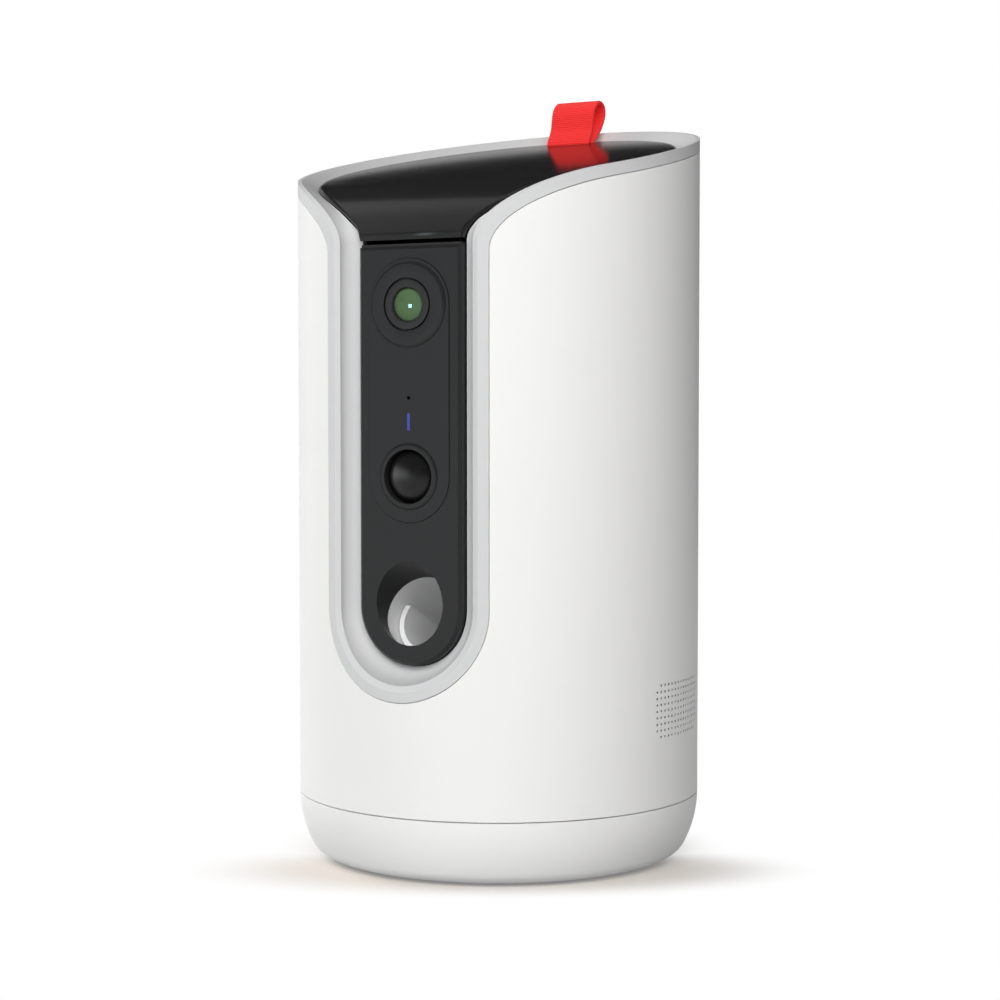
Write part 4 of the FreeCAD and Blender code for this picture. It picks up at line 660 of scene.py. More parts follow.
shell = bmesh.new()
edge_loop = opening_loop(0.0, SHELL_TOP, HOUSING_R)
hang_wall(shell, edge_loop[ARC_STEPS + 1:], BASE_TOP + BASE_PARTING)
plane_cut(shell, (0, 0, SLOT_CENTRE), (0, 0, 1))
hang_wall(shell, edge_loop[:ARC_STEPS + 1], BASE_TOP + BASE_PARTING)
bmesh.ops.remove_doubles(shell, verts=shell.verts, dist=0.001)
bmesh.ops.recalc_face_normals(shell, faces=shell.faces)
widest = max(shell.faces, key=lambda face: face.calc_area())
give_wall(shell, widest, widest.calc_center_median() * Vector((1, 1, 0)), SHELL_WALL)
outer_tube = finish_form(shell, "housing_tube", "housing", "shell_white", "outer_shell", material=white)
holes = bmesh.new()
for column in range(GRILLE_COLUMNS):
    a = math.radians(GRILLE_TURN + GRILLE_TURN_STEP * column)
    out = Vector((math.sin(a), -math.cos(a), 0))
    start, end = out * (HOUSING_R - SHELL_WALL - 1), out * (HOUSING_R + 1)
    for row in range(GRILLE_ROWS):
        if column in (0, GRILLE_COLUMNS - 1) and row in (0, GRILLE_ROWS - 1):
            continue
        up = Vector((0, 0, GRILLE_LOW + GRILLE_STEP * row))
        rod_into(holes, GRILLE_HOLE_R, start + up, end + up, 12)
# The grille holes' walls are painted dark grey: painted shade inside the holes.
shaded_white = grained("shaded_white", (0.28, 0.28, 0.28), 0.60, depth=0.02)
work_on(outer_tube, holes, painted_wall_shade=shaded_white)
back_holes = bmesh.new()
rod_into(back_holes, BUTTON_HOLE_R, (BUTTON_X, BACK_IN, BACK_Z), (BUTTON_X, BACK_OUT, BACK_Z), 48)
inlet_hole = bmesh.new()
rod_into(inlet_hole, INLET_HIGH / 2, (0, BACK_IN, 0), (0, BACK_OUT, 0), 48)
plane_cut(inlet_hole, (0, 0, 0), (1, 0, 0))
for vert in inlet_hole.verts:
    if abs(vert.co.x) > 1e-4:
        vert.co.x += math.copysign((INLET_WIDTH - INLET_HIGH) / 2, vert.co.x)
gather(back_holes, inlet_hole, [Matrix.Translation((INLET_X, 0, BACK_Z))])
work_on(outer_tube, back_holes)
# The rims get a small round; the holes stay crisp.
tube_form = bmesh.new()
tube_form.from_mesh(outer_tube.data)
rounding = tube_form.edges.layers.float.new("bevel_weight_edge")
for edge in tube_form.edges:
    x, y, z = edge.verts[0].co / MM
    at_holes = HOLES_LOW < z < HOLES_HIGH and max(abs(x), y) > HOLES_OUT
    if edge.is_manifold and edge.calc_face_angle() > math.radians(RIM_ANGLE) and not at_holes:
        edge[rounding] = 1.0
tube_form.to_mesh(outer_tube.data)
tube_form.free()
edge_round = outer_tube.modifiers.new("edge_round", "BEVEL")
edge_round.width = RIM_ROUND * MM
edge_round.segments = 2
edge_round.limit_method = "WEIGHT"

# ---- rim trim ----
# Light grey frame in one moulding: flush band, narrow chamfer, then a cove down to the panel and lid.
# A tongue behind the band goes down inside the tube and holds it there.
PARTING = 0.2
CREST, BAND, CHAMFER, CHAMFER_DROP = 205.0, 3.0, 1.7, 1.1
FOOT_HALF, FOOT_TOP, FOOT_LIP, COVE_STEPS = 16.6, 201.6, 2.0, 14
TONGUE, TONGUE_LAP, TONGUE_WALL = 4.0, 1.7, 2.0


def ring_of(loops):
    """A closed ring from equally long loops of points that follow each other round its section."""
    form = bmesh.new()
    edges = chain(form, loops[0], closed=True)[1]
    for loop in loops[1:] + loops[:1]:
        edges = draw_on(form, edges, loop)
    bmesh.ops.remove_doubles(form, verts=form.verts, dist=0.001)
    bmesh.ops.recalc_face_normals(form, faces=form.faces)
    return form


cove_in, cove_r = BAND + CHAMFER, HOUSING_R - CHAMFER_DROP
foot_in = SLOT_HALF - FOOT_HALF
behind = HOUSING_R - SHELL_WALL - PARTING
trim_loops = [opening_loop(PARTING, SHELL_TOP + PARTING, HOUSING_R), opening_loop(BAND, CREST, HOUSING_R)]
for i in range(COVE_STEPS + 1):
    a = math.pi / 2 * i / COVE_STEPS
    trim_loops.append(opening_loop(foot_in + (cove_in - foot_in) * math.cos(a),
                                   CREST + (FOOT_TOP - CREST) * math.sin(a), cove_r, math.sin(a)))
trim_loops += [opening_loop(foot_in, FOOT_TOP - FOOT_LIP, cove_r, 1.0, FOOT_LIP),
               opening_loop(-TONGUE_LAP, SHELL_TOP - TONGUE, behind - TONGUE_WALL),
               opening_loop(-TONGUE_LAP, SHELL_TOP - TONGUE, behind),
               opening_loop(PARTING, SHELL_TOP + PARTING, behind)]
pale_grey = grained("satin_pale_grey", (0.62, 0.62, 0.625), 0.45, depth=0.05, mottle=0.02,
                    Specular_IOR_Level=0.3)
finish_form(ring_of(trim_loops), "rim_frame", "housing", "trim_grey", "rim_trim", material=pale_grey,
            sharp=14.0)

# ---- front panel ----
# Satin black moulding with a chamfered face; the launch mouth opens in it with a short collar behind.
# It is sunk for the window plate and drilled for what looks through it, with a shelf under the lid's chin.
PANEL_FACE, PANEL_FOOT, PANEL_HALF, PANEL_TOP, PANEL_CHAMFER = 52.0, 47.0, 16.25, 176.2, 0.9
MOUTH_R, MOUTH_Y, MOUTH_Z, TILT = 10.55, 51.5, 77.45, 25.0
TUBE_WALL, COLLAR_END, COLLAR_SUNK = 1.65, 6.5, 1.0
WINDOW_HALF, WINDOW_LOW, WINDOW_HIGH, WINDOW_BACK = 12.75, 100.1, 172.9, 51.3
FIT = 0.1
LENS_Z, BARREL_R, MIC_Z, MIC_R, PIR_Z, PIR_RING_R = 160.15, 6.9, 134.5, 0.55, 112.85, 9.08
LED_LOW, LED_HIGH, LED_HALF = 125.5, 130.35, 0.45
DRILL_FRONT, DRILL_BACK = 60, 40
SHELF_IN, SHELF_SUNK, SHELF_LOW, SHELF_HIGH = 0.4, 1.0, 1.0, 0.7


def upright_outline(half, low, high, round_top=True, steps=40):
    """Outline of an upright slab seen from the front: round foot, and a round or square head."""
    points = []
    for i in range(steps + 1):
        a = math.pi + math.pi * i / steps
        points.append((half * math.cos(a), low + half + half * math.sin(a)))
    if not round_top:
        return points + [(half, high), (-half, high)]
    for i in range(steps + 1):
        a = math.pi * i / steps
        points.append((half * math.cos(a), high - half + half * math.sin(a)))
    return points


def slab_form(outlines):
    """A slab from outlines given as (points, distance in front of the axis), front to back."""
    form = bmesh.new()
    runs = [[(x, -depth, z) for x, z in points] for points, depth in outlines]
    edges = chain(form, runs[0], closed=True)[1]
    bmesh.ops.contextual_create(form, geom=edges)
    for run in runs[1:]:
        edges = draw_on(form, edges, run)
    bmesh.ops.contextual_create(form, geom=edges)
    bmesh.ops.recalc_face_normals(form, faces=form.faces)
    return form


def tube_point(s, x=0.0, up=0.0):
    """A point in the launcher's tilted frame: s runs back along the tube, up square to it."""
    a = math.radians(TILT)
    return (x, s * math.cos(a) + up * math.sin(a) - MOUTH_Y, MOUTH_Z - s * math.sin(a) + up * math.cos(a))


def cut_openings(piece):
    """Holes for the lens, the motion sensor and the microphone, and the status light's slot."""
    for z, radius in ((LENS_Z, BARREL_R + FIT), (PIR_Z, PIR_RING_R + FIT), (MIC_Z, MIC_R)):
        hole = bmesh.new()
        rod_into(hole, radius, (0, -DRILL_FRONT, z), (0, -DRILL_BACK, z), 96)
        work_on(piece, hole)
    slot = upright_outline(LED_HALF + FIT / 2, LED_LOW - FIT / 2, LED_HIGH + FIT / 2, steps=16)
    work_on(piece, slab_form([(slot, DRILL_FRONT), (slot, DRILL_BACK)]))


satin_black = grained("satin_black", (0.018, 0.018, 0.019), 0.42, grain=3200.0, depth=0.12, mottle=0.05,
                      Specular_IOR_Level=0.3)
face_outline = upright_outline(PANEL_HALF - PANEL_CHAMFER, SLOT_CENTRE - PANEL_HALF + PANEL_CHAMFER,
                               PANEL_TOP - PANEL_CHAMFER, round_top=False)
side_outline = upright_outline(PANEL_HALF, SLOT_CENTRE - PANEL_HALF, PANEL_TOP, round_top=False)
panel_form = slab_form([(face_outline, PANEL_FACE), (side_outline, PANEL_FACE - PANEL_CHAMFER),
                        (side_outline, PANEL_FOOT)])
panel = finish_form(panel_form, "black_front", "housing", "panel_black", "front_panel", material=satin_black)
collar = bmesh.new()
rod_into(collar, MOUTH_R + TUBE_WALL, tube_point(-MOUTH_R), tube_point(COLLAR_END), 96)
collar_face = plane_cut(collar, (0, COLLAR_SUNK - PANEL_FACE, 0), (0, 1, 0), drop_behind=True)
bmesh.ops.contextual_create(collar, geom=collar_face)
bmesh.ops.recalc_face_normals(collar, faces=collar.faces)
work_on(panel, collar, "UNION")
mouth = bmesh.new()
rod_into(mouth, MOUTH_R, tube_point(-2 * MOUTH_R), tube_point(2 * MOUTH_R), 120)
work_on(panel, mouth)
seat = upright_outline(WINDOW_HALF + FIT, WINDOW_LOW - FIT, WINDOW_HIGH + FIT)
work_on(panel, slab_form([(seat, PANEL_FACE + 1), (seat, WINDOW_BACK)]))
cut_openings(panel)
shelf = bmesh.new()
box_into(shelf, (SHELF_IN - PANEL_HALF, SHELF_SUNK - PANEL_FACE, PANEL_TOP - SHELF_LOW),
         (PANEL_HALF - SHELF_IN, -PANEL_FOOT, PANEL_TOP + SHELF_HIGH))
work_on(panel, shelf, "UNION")
soften(panel, width=0.12)

# ---- window plate ----
# Thin black plate with round ends, bonded into the panel; lens, microphone, light and sensor look
# through it. Fine satin skin, with a hair of a chamfer round its face.
WINDOW_FACE, WINDOW_CHAMFER = 52.3, 0.12
plate_black = grained("fine_black", (0.017, 0.017, 0.018), 0.38, grain=3600.0, depth=0.10, mottle=0.04,
                      Specular_IOR_Level=0.3)
plate_outline = upright_outline(WINDOW_HALF, WINDOW_LOW, WINDOW_HIGH, steps=64)
plate_inner = upright_outline(WINDOW_HALF - WINDOW_CHAMFER, WINDOW_LOW + WINDOW_CHAMFER,
                              WINDOW_HIGH - WINDOW_CHAMFER, steps=64)
plate_form = slab_form([(plate_inner, WINDOW_FACE), (plate_outline, WINDOW_FACE - WINDOW_CHAMFER),
                        (plate_outline, WINDOW_BACK)])
plate = finish_form(plate_form, "window", "housing", "window_black", "window_plate", material=plate_black)
cut_openings(plate)

# ---- lens ----
# Raised disc, a screwed-in barrel ring with a blackened recess, and a coated glass crown.
# The disc is glued on the window plate, and the barrel's thread runs back to its holder on the board.
BEZEL_R, BEZEL_IN, BEZEL_FACE, BEZEL_BACK, BEZEL_CHAMFER = 11.75, 7.4, 53.2, 52.3, 0.65
RECESS_R, RECESS_WIDER, RECESS_DROP, RECESS_BOTTOM, BARREL_BACK = 4.55, 0.35, 0.45, 51.3, 43.0
GLASS_R, GLASS_CROWN, GLASS_RIM, GLASS_BACK = 4.45, 1.0, 52.2, 51.4


def faced_form(profile, height, steps=128):
    """A turned form whose axis points out of the front, from (radius, distance in front) points."""
    form = turned_form(profile, steps)
    bmesh.ops.rotate(form, verts=form.verts, cent=(0, 0, 0), matrix=Matrix.Rotation(math.pi / 2, 3, "X"))
    bmesh.ops.translate(form, verts=form.verts, vec=(0, 0, height))
    return form


def crown(radius, height, rim, steps=24):
    """Section of a domed face, from the rim to the middle."""
    ball = (radius ** 2 + height ** 2) / (2 * height)
    points = []
    for i in range(steps + 1):
        a = math.asin(radius / ball) * (1 - i / steps)
        points.append((ball * math.sin(a), rim + height - ball + ball * math.cos(a)))
    return points


bezel_section = section([(BEZEL_IN, BEZEL_BACK), (BEZEL_R, BEZEL_BACK),
                         (BEZEL_R, BEZEL_FACE - BEZEL_CHAMFER), (BEZEL_R - BEZEL_CHAMFER, BEZEL_FACE),
                         (BEZEL_IN, BEZEL_FACE), (BEZEL_IN, BEZEL_BACK)], {2: 0.1, 3: 0.12, 4: 0.06})
finish_form(faced_form(bezel_section, LENS_Z), "lens_disc", "housing", "window_black", "lens_bezel",
            material=plate_black, sharp=60)
ring_black = grained("barrel_black", (0.019, 0.019, 0.020), 0.40, depth=0.08, Specular_IOR_Level=0.35)
barrel_section = section([(0, BARREL_BACK), (BARREL_R, BARREL_BACK), (BARREL_R, BEZEL_FACE),
                          (RECESS_R + RECESS_WIDER, BEZEL_FACE), (RECESS_R, BEZEL_FACE - RECESS_DROP),
                          (RECESS_R, RECESS_BOTTOM), (0, RECESS_BOTTOM)], {2: 0.22, 3: 0.08})
finish_form(faced_form(barrel_section, LENS_Z), "lens_ring", "housing", "barrel_black", "lens_barrel",
            material=ring_black, sharp=50)
green_glass = grained("coated_glass", (0.085, 0.145, 0.07), 0.06, depth=0.0, mottle=0.1,
                      Specular_IOR_Level=0.12)
glass_section = [(0, GLASS_BACK), (GLASS_R, GLASS_BACK)] + crown(GLASS_R, GLASS_CROWN, GLASS_RIM)
front_glass = finish_form(faced_form(glass_section, LENS_Z), "front_glass", "housing", "lens_glass",
                          "lens_glass", material=green_glass, sharp=60)
only_on(soft_light("glint_box", -17, 3.0, 0.6, 0.09, 0.09, 5.5, mirrored=True, tint=(0.30, 1.0, 0.92)),
        front_glass)

# ---- status light ----
# Milky blue light pipe, upright, a hair proud of the window plate.
# Moulded in tinted plastic; its back end stands close to the light source on the board.
PIPE_PROUD, PIPE_BACK, PIPE_GLOW = 0.03, 45.0, 0.07
pipe_blue = grained("light_blue", (0.04, 0.05, 0.29), 0.35, depth=0.02, Emission_Color=(0.05, 0.06, 0.33, 1),
                    Emission_Strength=PIPE_GLOW)
light_outline = upright_outline(LED_HALF, LED_LOW, LED_HIGH, steps=16)
finish_form(slab_form([(light_outline, WINDOW_FACE + PIPE_PROUD), (light_outline, PIPE_BACK)]), "light_pipe",
            "housing", "light_blue", "led_light_pipe", material=pipe_blue)

# ---- motion sensor ----
# Black moulded ring round a glossy black dome, set into the window plate with a fine gap.
# The dome is thin plastic that heat shines through, over the sensor can on the board.
PIR_FACE, PIR_BACK, PIR_INNER_R, PIR_CHAMFER = 52.9, 49.0, 7.5, 0.45
DOME_R, DOME_CROWN, DOME_BACK, DOME_SUNK = 7.3, 3.4, 49.6, 1.2
pir_section = section([(PIR_INNER_R, PIR_BACK), (PIR_RING_R, PIR_BACK),
                       (PIR_RING_R, PIR_FACE - PIR_CHAMFER), (PIR_RING_R - PIR_CHAMFER, PIR_FACE),
                       (PIR_INNER_R, PIR_FACE), (PIR_INNER_R, PIR_BACK)], {2: 0.12, 3: 0.12, 4: 0.15})
finish_form(faced_form(pir_section, PIR_Z), "sensor_ring", "housing", "panel_black", "pir_ring",
            material=plate_black, sharp=60)
dome_black = grained("dome_black", (0.005, 0.005, 0.0053), 0.34, depth=0.02, mottle=0.03,
                     Specular_IOR_Level=0.3)
dome_section = [(0, DOME_BACK), (DOME_R, DOME_BACK)] + crown(DOME_R, DOME_CROWN, PANEL_FACE - DOME_SUNK, 40)
sensor_dome = finish_form(faced_form(dome_section, PIR_Z), "sensor_dome", "housing", "dome_black",
                          "pir_dome", material=dome_black, sharp=60)
only_on(soft_light("dome_box", -52, 0, 1.2, 1.4, 0.8, 8.6, mirrored=True), sensor_dome)

# ---- main board and its parts ----
# Green circuit board behind the panel, on four standoffs; the black chip on its back runs the camera.
# Solder mask over copper tracks, gold-plated pads, and small parts soldered on its front.
BOARD_FRONT, BOARD_BACK, CHIP_NEAR = 40.0, 38.4, 0.1
CHIP_PARTS = [(-10.5, 142.0), (-10.5, 138.5), (-10.5, 135.0), (-6.5, 120.0), (6.5, 120.0), (9.5, 124.5),
              (10.5, 131.0), (10.5, 134.5), (10.5, 138.0), (6.5, 142.5), (2.0, 142.5), (-2.5, 142.5),
              (-9.5, 128.0), (9.5, 145.5)]
PART_HALF_LONG, PART_HALF_HIGH, PART_DEEP = 1.0, 0.55, 0.6


def circuit_board():
    """Board surface seen from the front or back: mask, raised tracks in bundles, and rows of pads."""
    tree, _, result = effect_group("circuit_board", (), ("Colour", "Roughness", "Metal", "Normal"))
    where = placed(tree, "TexCoord").outputs["Object"]
    bundles = placed(tree, "TexVoronoi", {"Vector": where, "Scale": 130.0}, distance="CHEBYCHEV")
    parts = placed(tree, "SeparateColor", {"Color": bundles.outputs["Color"]}).outputs
    upright = maths(tree, "GREATER_THAN", parts["Red"], 0.5)
    across, along = (placed(tree, "TexWave", {"Vector": where, "Scale": 210.0}, bands_direction=axis)
                     for axis in ("X", "Z"))
    stripes = placed(tree, "Mix", {"Factor": upright, "A": across.outputs["Fac"], "B": along.outputs["Fac"]})
    track = maths(tree, "GREATER_THAN", stripes, 0.62)
    dots = placed(tree, "TexVoronoi", {"Vector": where, "Scale": 520.0, "Randomness": 0.0})
    dot = maths(tree, "LESS_THAN", dots.outputs["Distance"], 0.32)
    pad = maths(tree, "MULTIPLY", dot, maths(tree, "GREATER_THAN", parts["Green"], 0.66))
    mask = mixed(tree, track, (0.006, 0.085, 0.03, 1), (0.012, 0.17, 0.06, 1))
    raised = placed(tree, "Bump", {"Distance": 0.00004, "Strength": 0.5, "Height": track})
    feed(tree, result, {"Colour": mixed(tree, pad, mask, (0.83, 0.60, 0.22, 1)), "Metal": pad,
                        "Roughness": ranged(tree, pad, (0.0, 1.0), (0.38, 0.25)), "Normal": raised})
    return tree


board_green = finish("board_green", circuit_board(), {}, {})
chip_black = grained("chip_black", (0.02, 0.02, 0.021), 0.55, grain=3000.0, depth=0.15, mottle=0.08)
board = smoothed_copy("main_board", "camera_board", board_green)
board.data.materials.append(chip_black)
for polygon in board.data.polygons:
    if polygon.center.y > (CHIP_NEAR - BOARD_BACK) * MM:
        polygon.material_index = 1
soldered = bmesh.new()
for x, z in CHIP_PARTS:
    box_into(soldered, (x - PART_HALF_LONG, -BOARD_FRONT - PART_DEEP, z - PART_HALF_HIGH),
             (x + PART_HALF_LONG, -BOARD_FRONT, z + PART_HALF_HIGH))
small_parts = finish_form(soldered, "soldered_parts", "housing", "part_black", material=chip_black)
soften(small_parts, width=0.08)

# ---- board screws ----
# Four small zinc-plated pan head screws that hold the board to the standoffs behind the panel.
# They are driven in from the back, each with a cross recess.
BOARD_SCREW_X, BOARD_SCREW_LOW, BOARD_SCREW_HIGH, BOARD_SCREW_LENGTH = 12.0, 101.5, 170.5, 7.0
BOARD_HEAD_R, BOARD_HEAD_HIGH, BOARD_CROSS_HALF = 2.1, 1.3, 1.2
board_seats = [(x, -BOARD_BACK, z) for x in (-BOARD_SCREW_X, BOARD_SCREW_X)
               for z in (BOARD_SCREW_LOW, BOARD_SCREW_HIGH)]
cross_screws("small_screws", "board_screws", board_seats, (0, 1, 0), BOARD_HEAD_R, BOARD_HEAD_HIGH,
             BOARD_CROSS_HALF, BOARD_SCREW_LENGTH)

# ---- lens holder ----
# Black moulded block glued to the board over the picture sensor; the lens barrel screws into its neck.
# Its edges keep the small rounds of the mould.
moulded_black = grained("moulded_black", (0.022, 0.022, 0.023), 0.5, grain=2400.0, depth=0.12, mottle=0.06)
smoothed_copy("lens_holder", "lens_seat", moulded_black, bevel=0.15)

# ---- microphone ----
# Small drawn metal capsule soldered to the board, in a soft black rubber boot that leads the sound
# in from the panel.
smoothed_copy("mic_boot", "microphone_boot", black_rubber, bevel=0.12)
can_metal = metal("can_metal", (0.72, 0.72, 0.71), 0.34, lines=(3000.0, 3000.0, 3000.0), depth=0.15)
smoothed_copy("mic_capsule", "microphone_capsule", can_metal, bevel=0.12)

# ---- light source ----
# Light-emitting part in a white moulded body, soldered to the board behind the blue light pipe.
# Its edges keep the small rounds of the mould.
led_white = grained("led_white", (0.78, 0.78, 0.70), 0.35, depth=0.03, mottle=0.03)
smoothed_copy("status_led", "light_source", led_white, bevel=0.1)

# ---- motion sensor can ----
# Pressed metal can with a rolled foot and a dark window, soldered to the board behind the dome.
# The window lies a little sunk in the can's face.
CAN_FOOT_R, CAN_FOOT_HIGH, CAN_R, CAN_HIGH, CAN_WINDOW_R, CAN_WINDOW_SUNK = 4.6, 0.5, 4.1, 4.2, 1.9, 0.3
can_foot, can_face = BOARD_FRONT + CAN_FOOT_HIGH, BOARD_FRONT + CAN_HIGH
can_window = can_face - CAN_WINDOW_SUNK
can_section = section([(0, BOARD_FRONT), (CAN_FOOT_R, BOARD_FRONT), (CAN_FOOT_R, can_foot),
                       (CAN_R, can_foot), (CAN_R, can_face), (CAN_WINDOW_R, can_face),
                       (CAN_WINDOW_R, can_window), (0, can_window)], {2: 0.2, 4: 0.5})
finish_form(faced_form(can_section, PIR_Z, 64), "sensor_can", "housing", "capsule_metal", "pir_sensor",
            material=can_metal)

# ---- launch tube and scoop ----
# Light grey sloping tube behind the mouth, and the half-pipe carrier that throws the treat along it.
# Both are moulded in a slippery grade with a soft satin skin.
DROP_START, DROP_HIDDEN, DROP_NEAR = 24.5, 32.0, 0.02
slippery_grey = grained("slippery_grey", (0.73, 0.73, 0.735), 0.42, depth=0.06)
sloping_tube = smoothed_copy("launch_tube", "sloping_tube", slippery_grey)
# Its drop hole starts further in here than on the solid, so that the mouth hides it.
tube_way = Vector(tube_point(1.0)) - Vector(tube_point(0.0))
for vert in sloping_tube.data.vertices:
    if abs((vert.co / MM - Vector(tube_point(0.0))).dot(tube_way) - DROP_START) < DROP_NEAR:
        vert.co += tube_way * (DROP_HIDDEN - DROP_START) * MM
sloping_tube.data.set_sharp_from_angle(angle=math.radians(30))
scoop_grey = grained("scoop_grey", (0.77, 0.77, 0.775), 0.42, depth=0.06)
smoothed_copy("scoop", "treat_scoop", scoop_grey)

# ---- launch spring ----
# Round steel wire wound into five turns over the scoop's guide pin; it drives the throw.
# It is squashed between the scoop and the end of the tube when the gear draws the scoop back.
SPRING_R, WIRE_R, SPRING_TURNS, SPRING_STEPS = 6.0, 0.5, 5, 40
SPRING_START, SPRING_END, SPRING_KEEP = 46.5, 71.5, 0.07
tube_up = Vector(tube_point(0.0, 0.0, 1.0)) - Vector(tube_point(0.0))
wire_end = Matrix((Vector((1, 0, 0)), tube_way, tube_up)).transposed().to_4x4()
coil = bmesh.new()
bmesh.ops.create_circle(coil, segments=12, radius=WIRE_R, cap_ends=False,
                        matrix=Matrix.Translation(tube_point(SPRING_START, SPRING_R)) @ wire_end)
wire_edges = coil.edges[:]
bmesh.ops.contextual_create(coil, geom=wire_edges)
swept = bmesh.ops.spin(coil, geom=wire_edges, cent=tube_point(SPRING_START), axis=tube_way,
                       dvec=tube_way * (SPRING_END - SPRING_START) / (SPRING_TURNS * SPRING_STEPS),
                       angle=2 * math.pi * SPRING_TURNS, steps=SPRING_TURNS * SPRING_STEPS)
last_ring = [item for item in swept["geom_last"] if isinstance(item, bmesh.types.BMEdge)]
bmesh.ops.contextual_create(coil, geom=last_ring)
bmesh.ops.recalc_face_normals(coil, faces=coil.faces)
spring_steel = metal("spring_steel", (0.42, 0.42, 0.43), 0.28, lines=(4000.0, 4000.0, 4000.0))
spring = finish_form(coil, "throw_spring", "housing", "spring_steel", "launch_spring", sharp=60,
                     material=spring_steel)
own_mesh(spring)

# ---- drive gear, axle and pinion ----
# White moulded gear: a part-toothed sector draws the scoop's rack back and then lets it go, beside the
# wheel that the motor's pinion turns. It runs on a ground steel pin between the two cheeks.
gear_white = grained("gear_white", (0.74, 0.74, 0.72), 0.42, grain=2200.0, depth=0.05, mottle=0.03)
smoothed_copy("drive_gear", "sector_gear", gear_white, bevel=0.08)
ground_steel = metal("ground_steel", (0.60, 0.60, 0.61), 0.22, lines=(9000.0, 900.0, 900.0))
smoothed_copy("drive_axle", "gear_axle", ground_steel, bevel=0.2)
smoothed_copy("motor_pinion", "pinion", gear_white, bevel=0.08)

# ---- launch motor and cheeks ----
# Small flat-sided motor in a drawn steel can, its nose in the right cheek; the cheeks are two grey
# moulded plates that hug the tube and stand on the frame's floor.
drawn_steel = metal("drawn_steel", (0.50, 0.51, 0.52), 0.36, lines=(9000.0, 1200.0, 1200.0))
smoothed_copy("launch_motor", "throw_motor", drawn_steel, bevel=0.4)
for side in ("left", "right"):
    smoothed_copy("gearbox_cheek_" + side, side + "_cheek", moulded_grey, bevel=0.18)

# ---- dispenser ----
# Grey well with a drop hole, the star wheel that pushes treats round to it and the chute below it.
# The wheel is pressed on its steel shaft, which a small worm gearbox under the well turns.
smoothed_copy("wheel_housing", "star_well", moulded_grey, bevel=0.2)
smoothed_copy("drop_chute", "treat_chute", moulded_grey)
wheel_satin = grained("wheel_satin", (0.55, 0.56, 0.56), 0.4, depth=0.06)
smoothed_copy("dispenser_wheel", "star_wheel", wheel_satin, bevel=0.3)
smoothed_copy("wheel_shaft", "star_shaft", ground_steel, bevel=0.25)
smoothed_copy("dispenser_gearbox", "worm_gearbox", moulded_black, bevel=0.5)
smoothed_copy("dispenser_motor", "worm_motor", drawn_steel, bevel=0.3)

# ---- hopper ----
# Clear, faintly smoky bin that holds the treats: a round mouth with a flat front over a funnel.
# Moulded in one piece with a polished skin.
clear_smoke = grained("clear_smoke", (0.80, 0.83, 0.85), 0.07, depth=0.02, mottle=0.02,
                      Transmission_Weight=0.92, IOR=1.49)
smoothed_copy("hopper", "treat_bin", clear_smoke)

# ---- speaker ----
# Pressed black steel basket with a paper cone, held by a grey moulded bracket behind the holes in
# the tube's side.
black_steel = metal("black_steel", (0.045, 0.045, 0.047), 0.45, lines=(1500.0, 1500.0, 1500.0))
smoothed_copy("speaker_basket", "sound_basket", black_steel, bevel=0.2)
grey_paper = grained("grey_paper", (0.05, 0.05, 0.052), 0.9, grain=900.0, depth=0.8, mottle=0.25)
smoothed_copy("speaker_cone", "sound_cone", grey_paper)
smoothed_copy("speaker_bracket", "sound_bracket", moulded_grey, bevel=0.2)

# ---- power board, inlet and reset button ----
# A small board low at the back carries the metal power inlet and a push switch behind its button.
# The button is a white moulded cap that slides in its hole in the tube.
smoothed_copy("power_board", "supply_board", board_green)
smoothed_copy("power_inlet", "supply_inlet", can_metal, bevel=0.08)
smoothed_copy("reset_switch", "push_switch", moulded_black, bevel=0.15)
smoothed_copy("reset_button", "push_button", white, bevel=0.15)

# ---- lid ----
# Glossy black moulding: slanted top, a crease, and a chin that runs down to the panel, rounded all
# round. It lies loose in the trim's cove; the plug wall under it reaches into the bin's mouth.
LID_GAP, LID_TOP, LID_R, LID_WALL, LID_SIDE, LID_SKIRT = 0.35, 203.3, 52.65, 2.2, 1.6, 4.0
CHIN = [(-51.4, 177.4), (-51.4, 180.5), (-49.5, 184.8), (-46.9, 187.9), (-43.0, 191.4), (-38.5, 194.55)]
CHIN_START, CHIN_END = (-51.4, 174.4), (-34.0, 197.15)
CHIN_CLEAR, LINE_STEPS, TOP_STEPS, LINE_BACK, HALF_RIM = 0.4, 24, 180, 60.0, 106
EDGE_DROP, EDGE_NARROW, EDGE_GAIN, EDGE_RUN, EDGE_POWER, ROUND_STEPS = 0.5, 0.45, 1.55, 24, 1.5, 6
SLIT_HALF, SLIT_FRONT, SLIT_BACK, SLIT_LOW, SLIT_HIGH = 7.5, 45.1, 51.1, 200, 230
BIN_R, BIN_FRONT = 48.7, 29.2
PLUG_GAP, PLUG_WALL, PLUG_DEPTH, PLUG_LAP, PLUG_LEAD, PLUG_LEAD_HIGH = 0.8, 1.6, 9.0, 0.9, 0.3, 0.4


def smooth_run(points, steps):
    """A smooth curve through the points, but for the first and last, which only lead in and out."""
    run = []
    poles = [Vector(p) for p in points]
    for a, b, c, d in zip(poles, poles[1:], poles[2:], poles[3:]):
        for k in range(steps):
            t = k / steps
            run.append(0.5 * (2 * b + (c - a) * t + (2 * a - 5 * b + 4 * c - d) * t * t
                              + (3 * b - a - 3 * c + d) * t ** 3))
    return run


crease_y = CHIN[-1][0]
lid_line = smooth_run([CHIN_START] + CHIN + [CHIN_END], LINE_STEPS)
for i in range(TOP_STEPS + 1):
    y = crease_y + (LINE_BACK - crease_y) * i / TOP_STEPS
    lid_line.append(Vector((y, LID_TOP + SLOPE * y)))


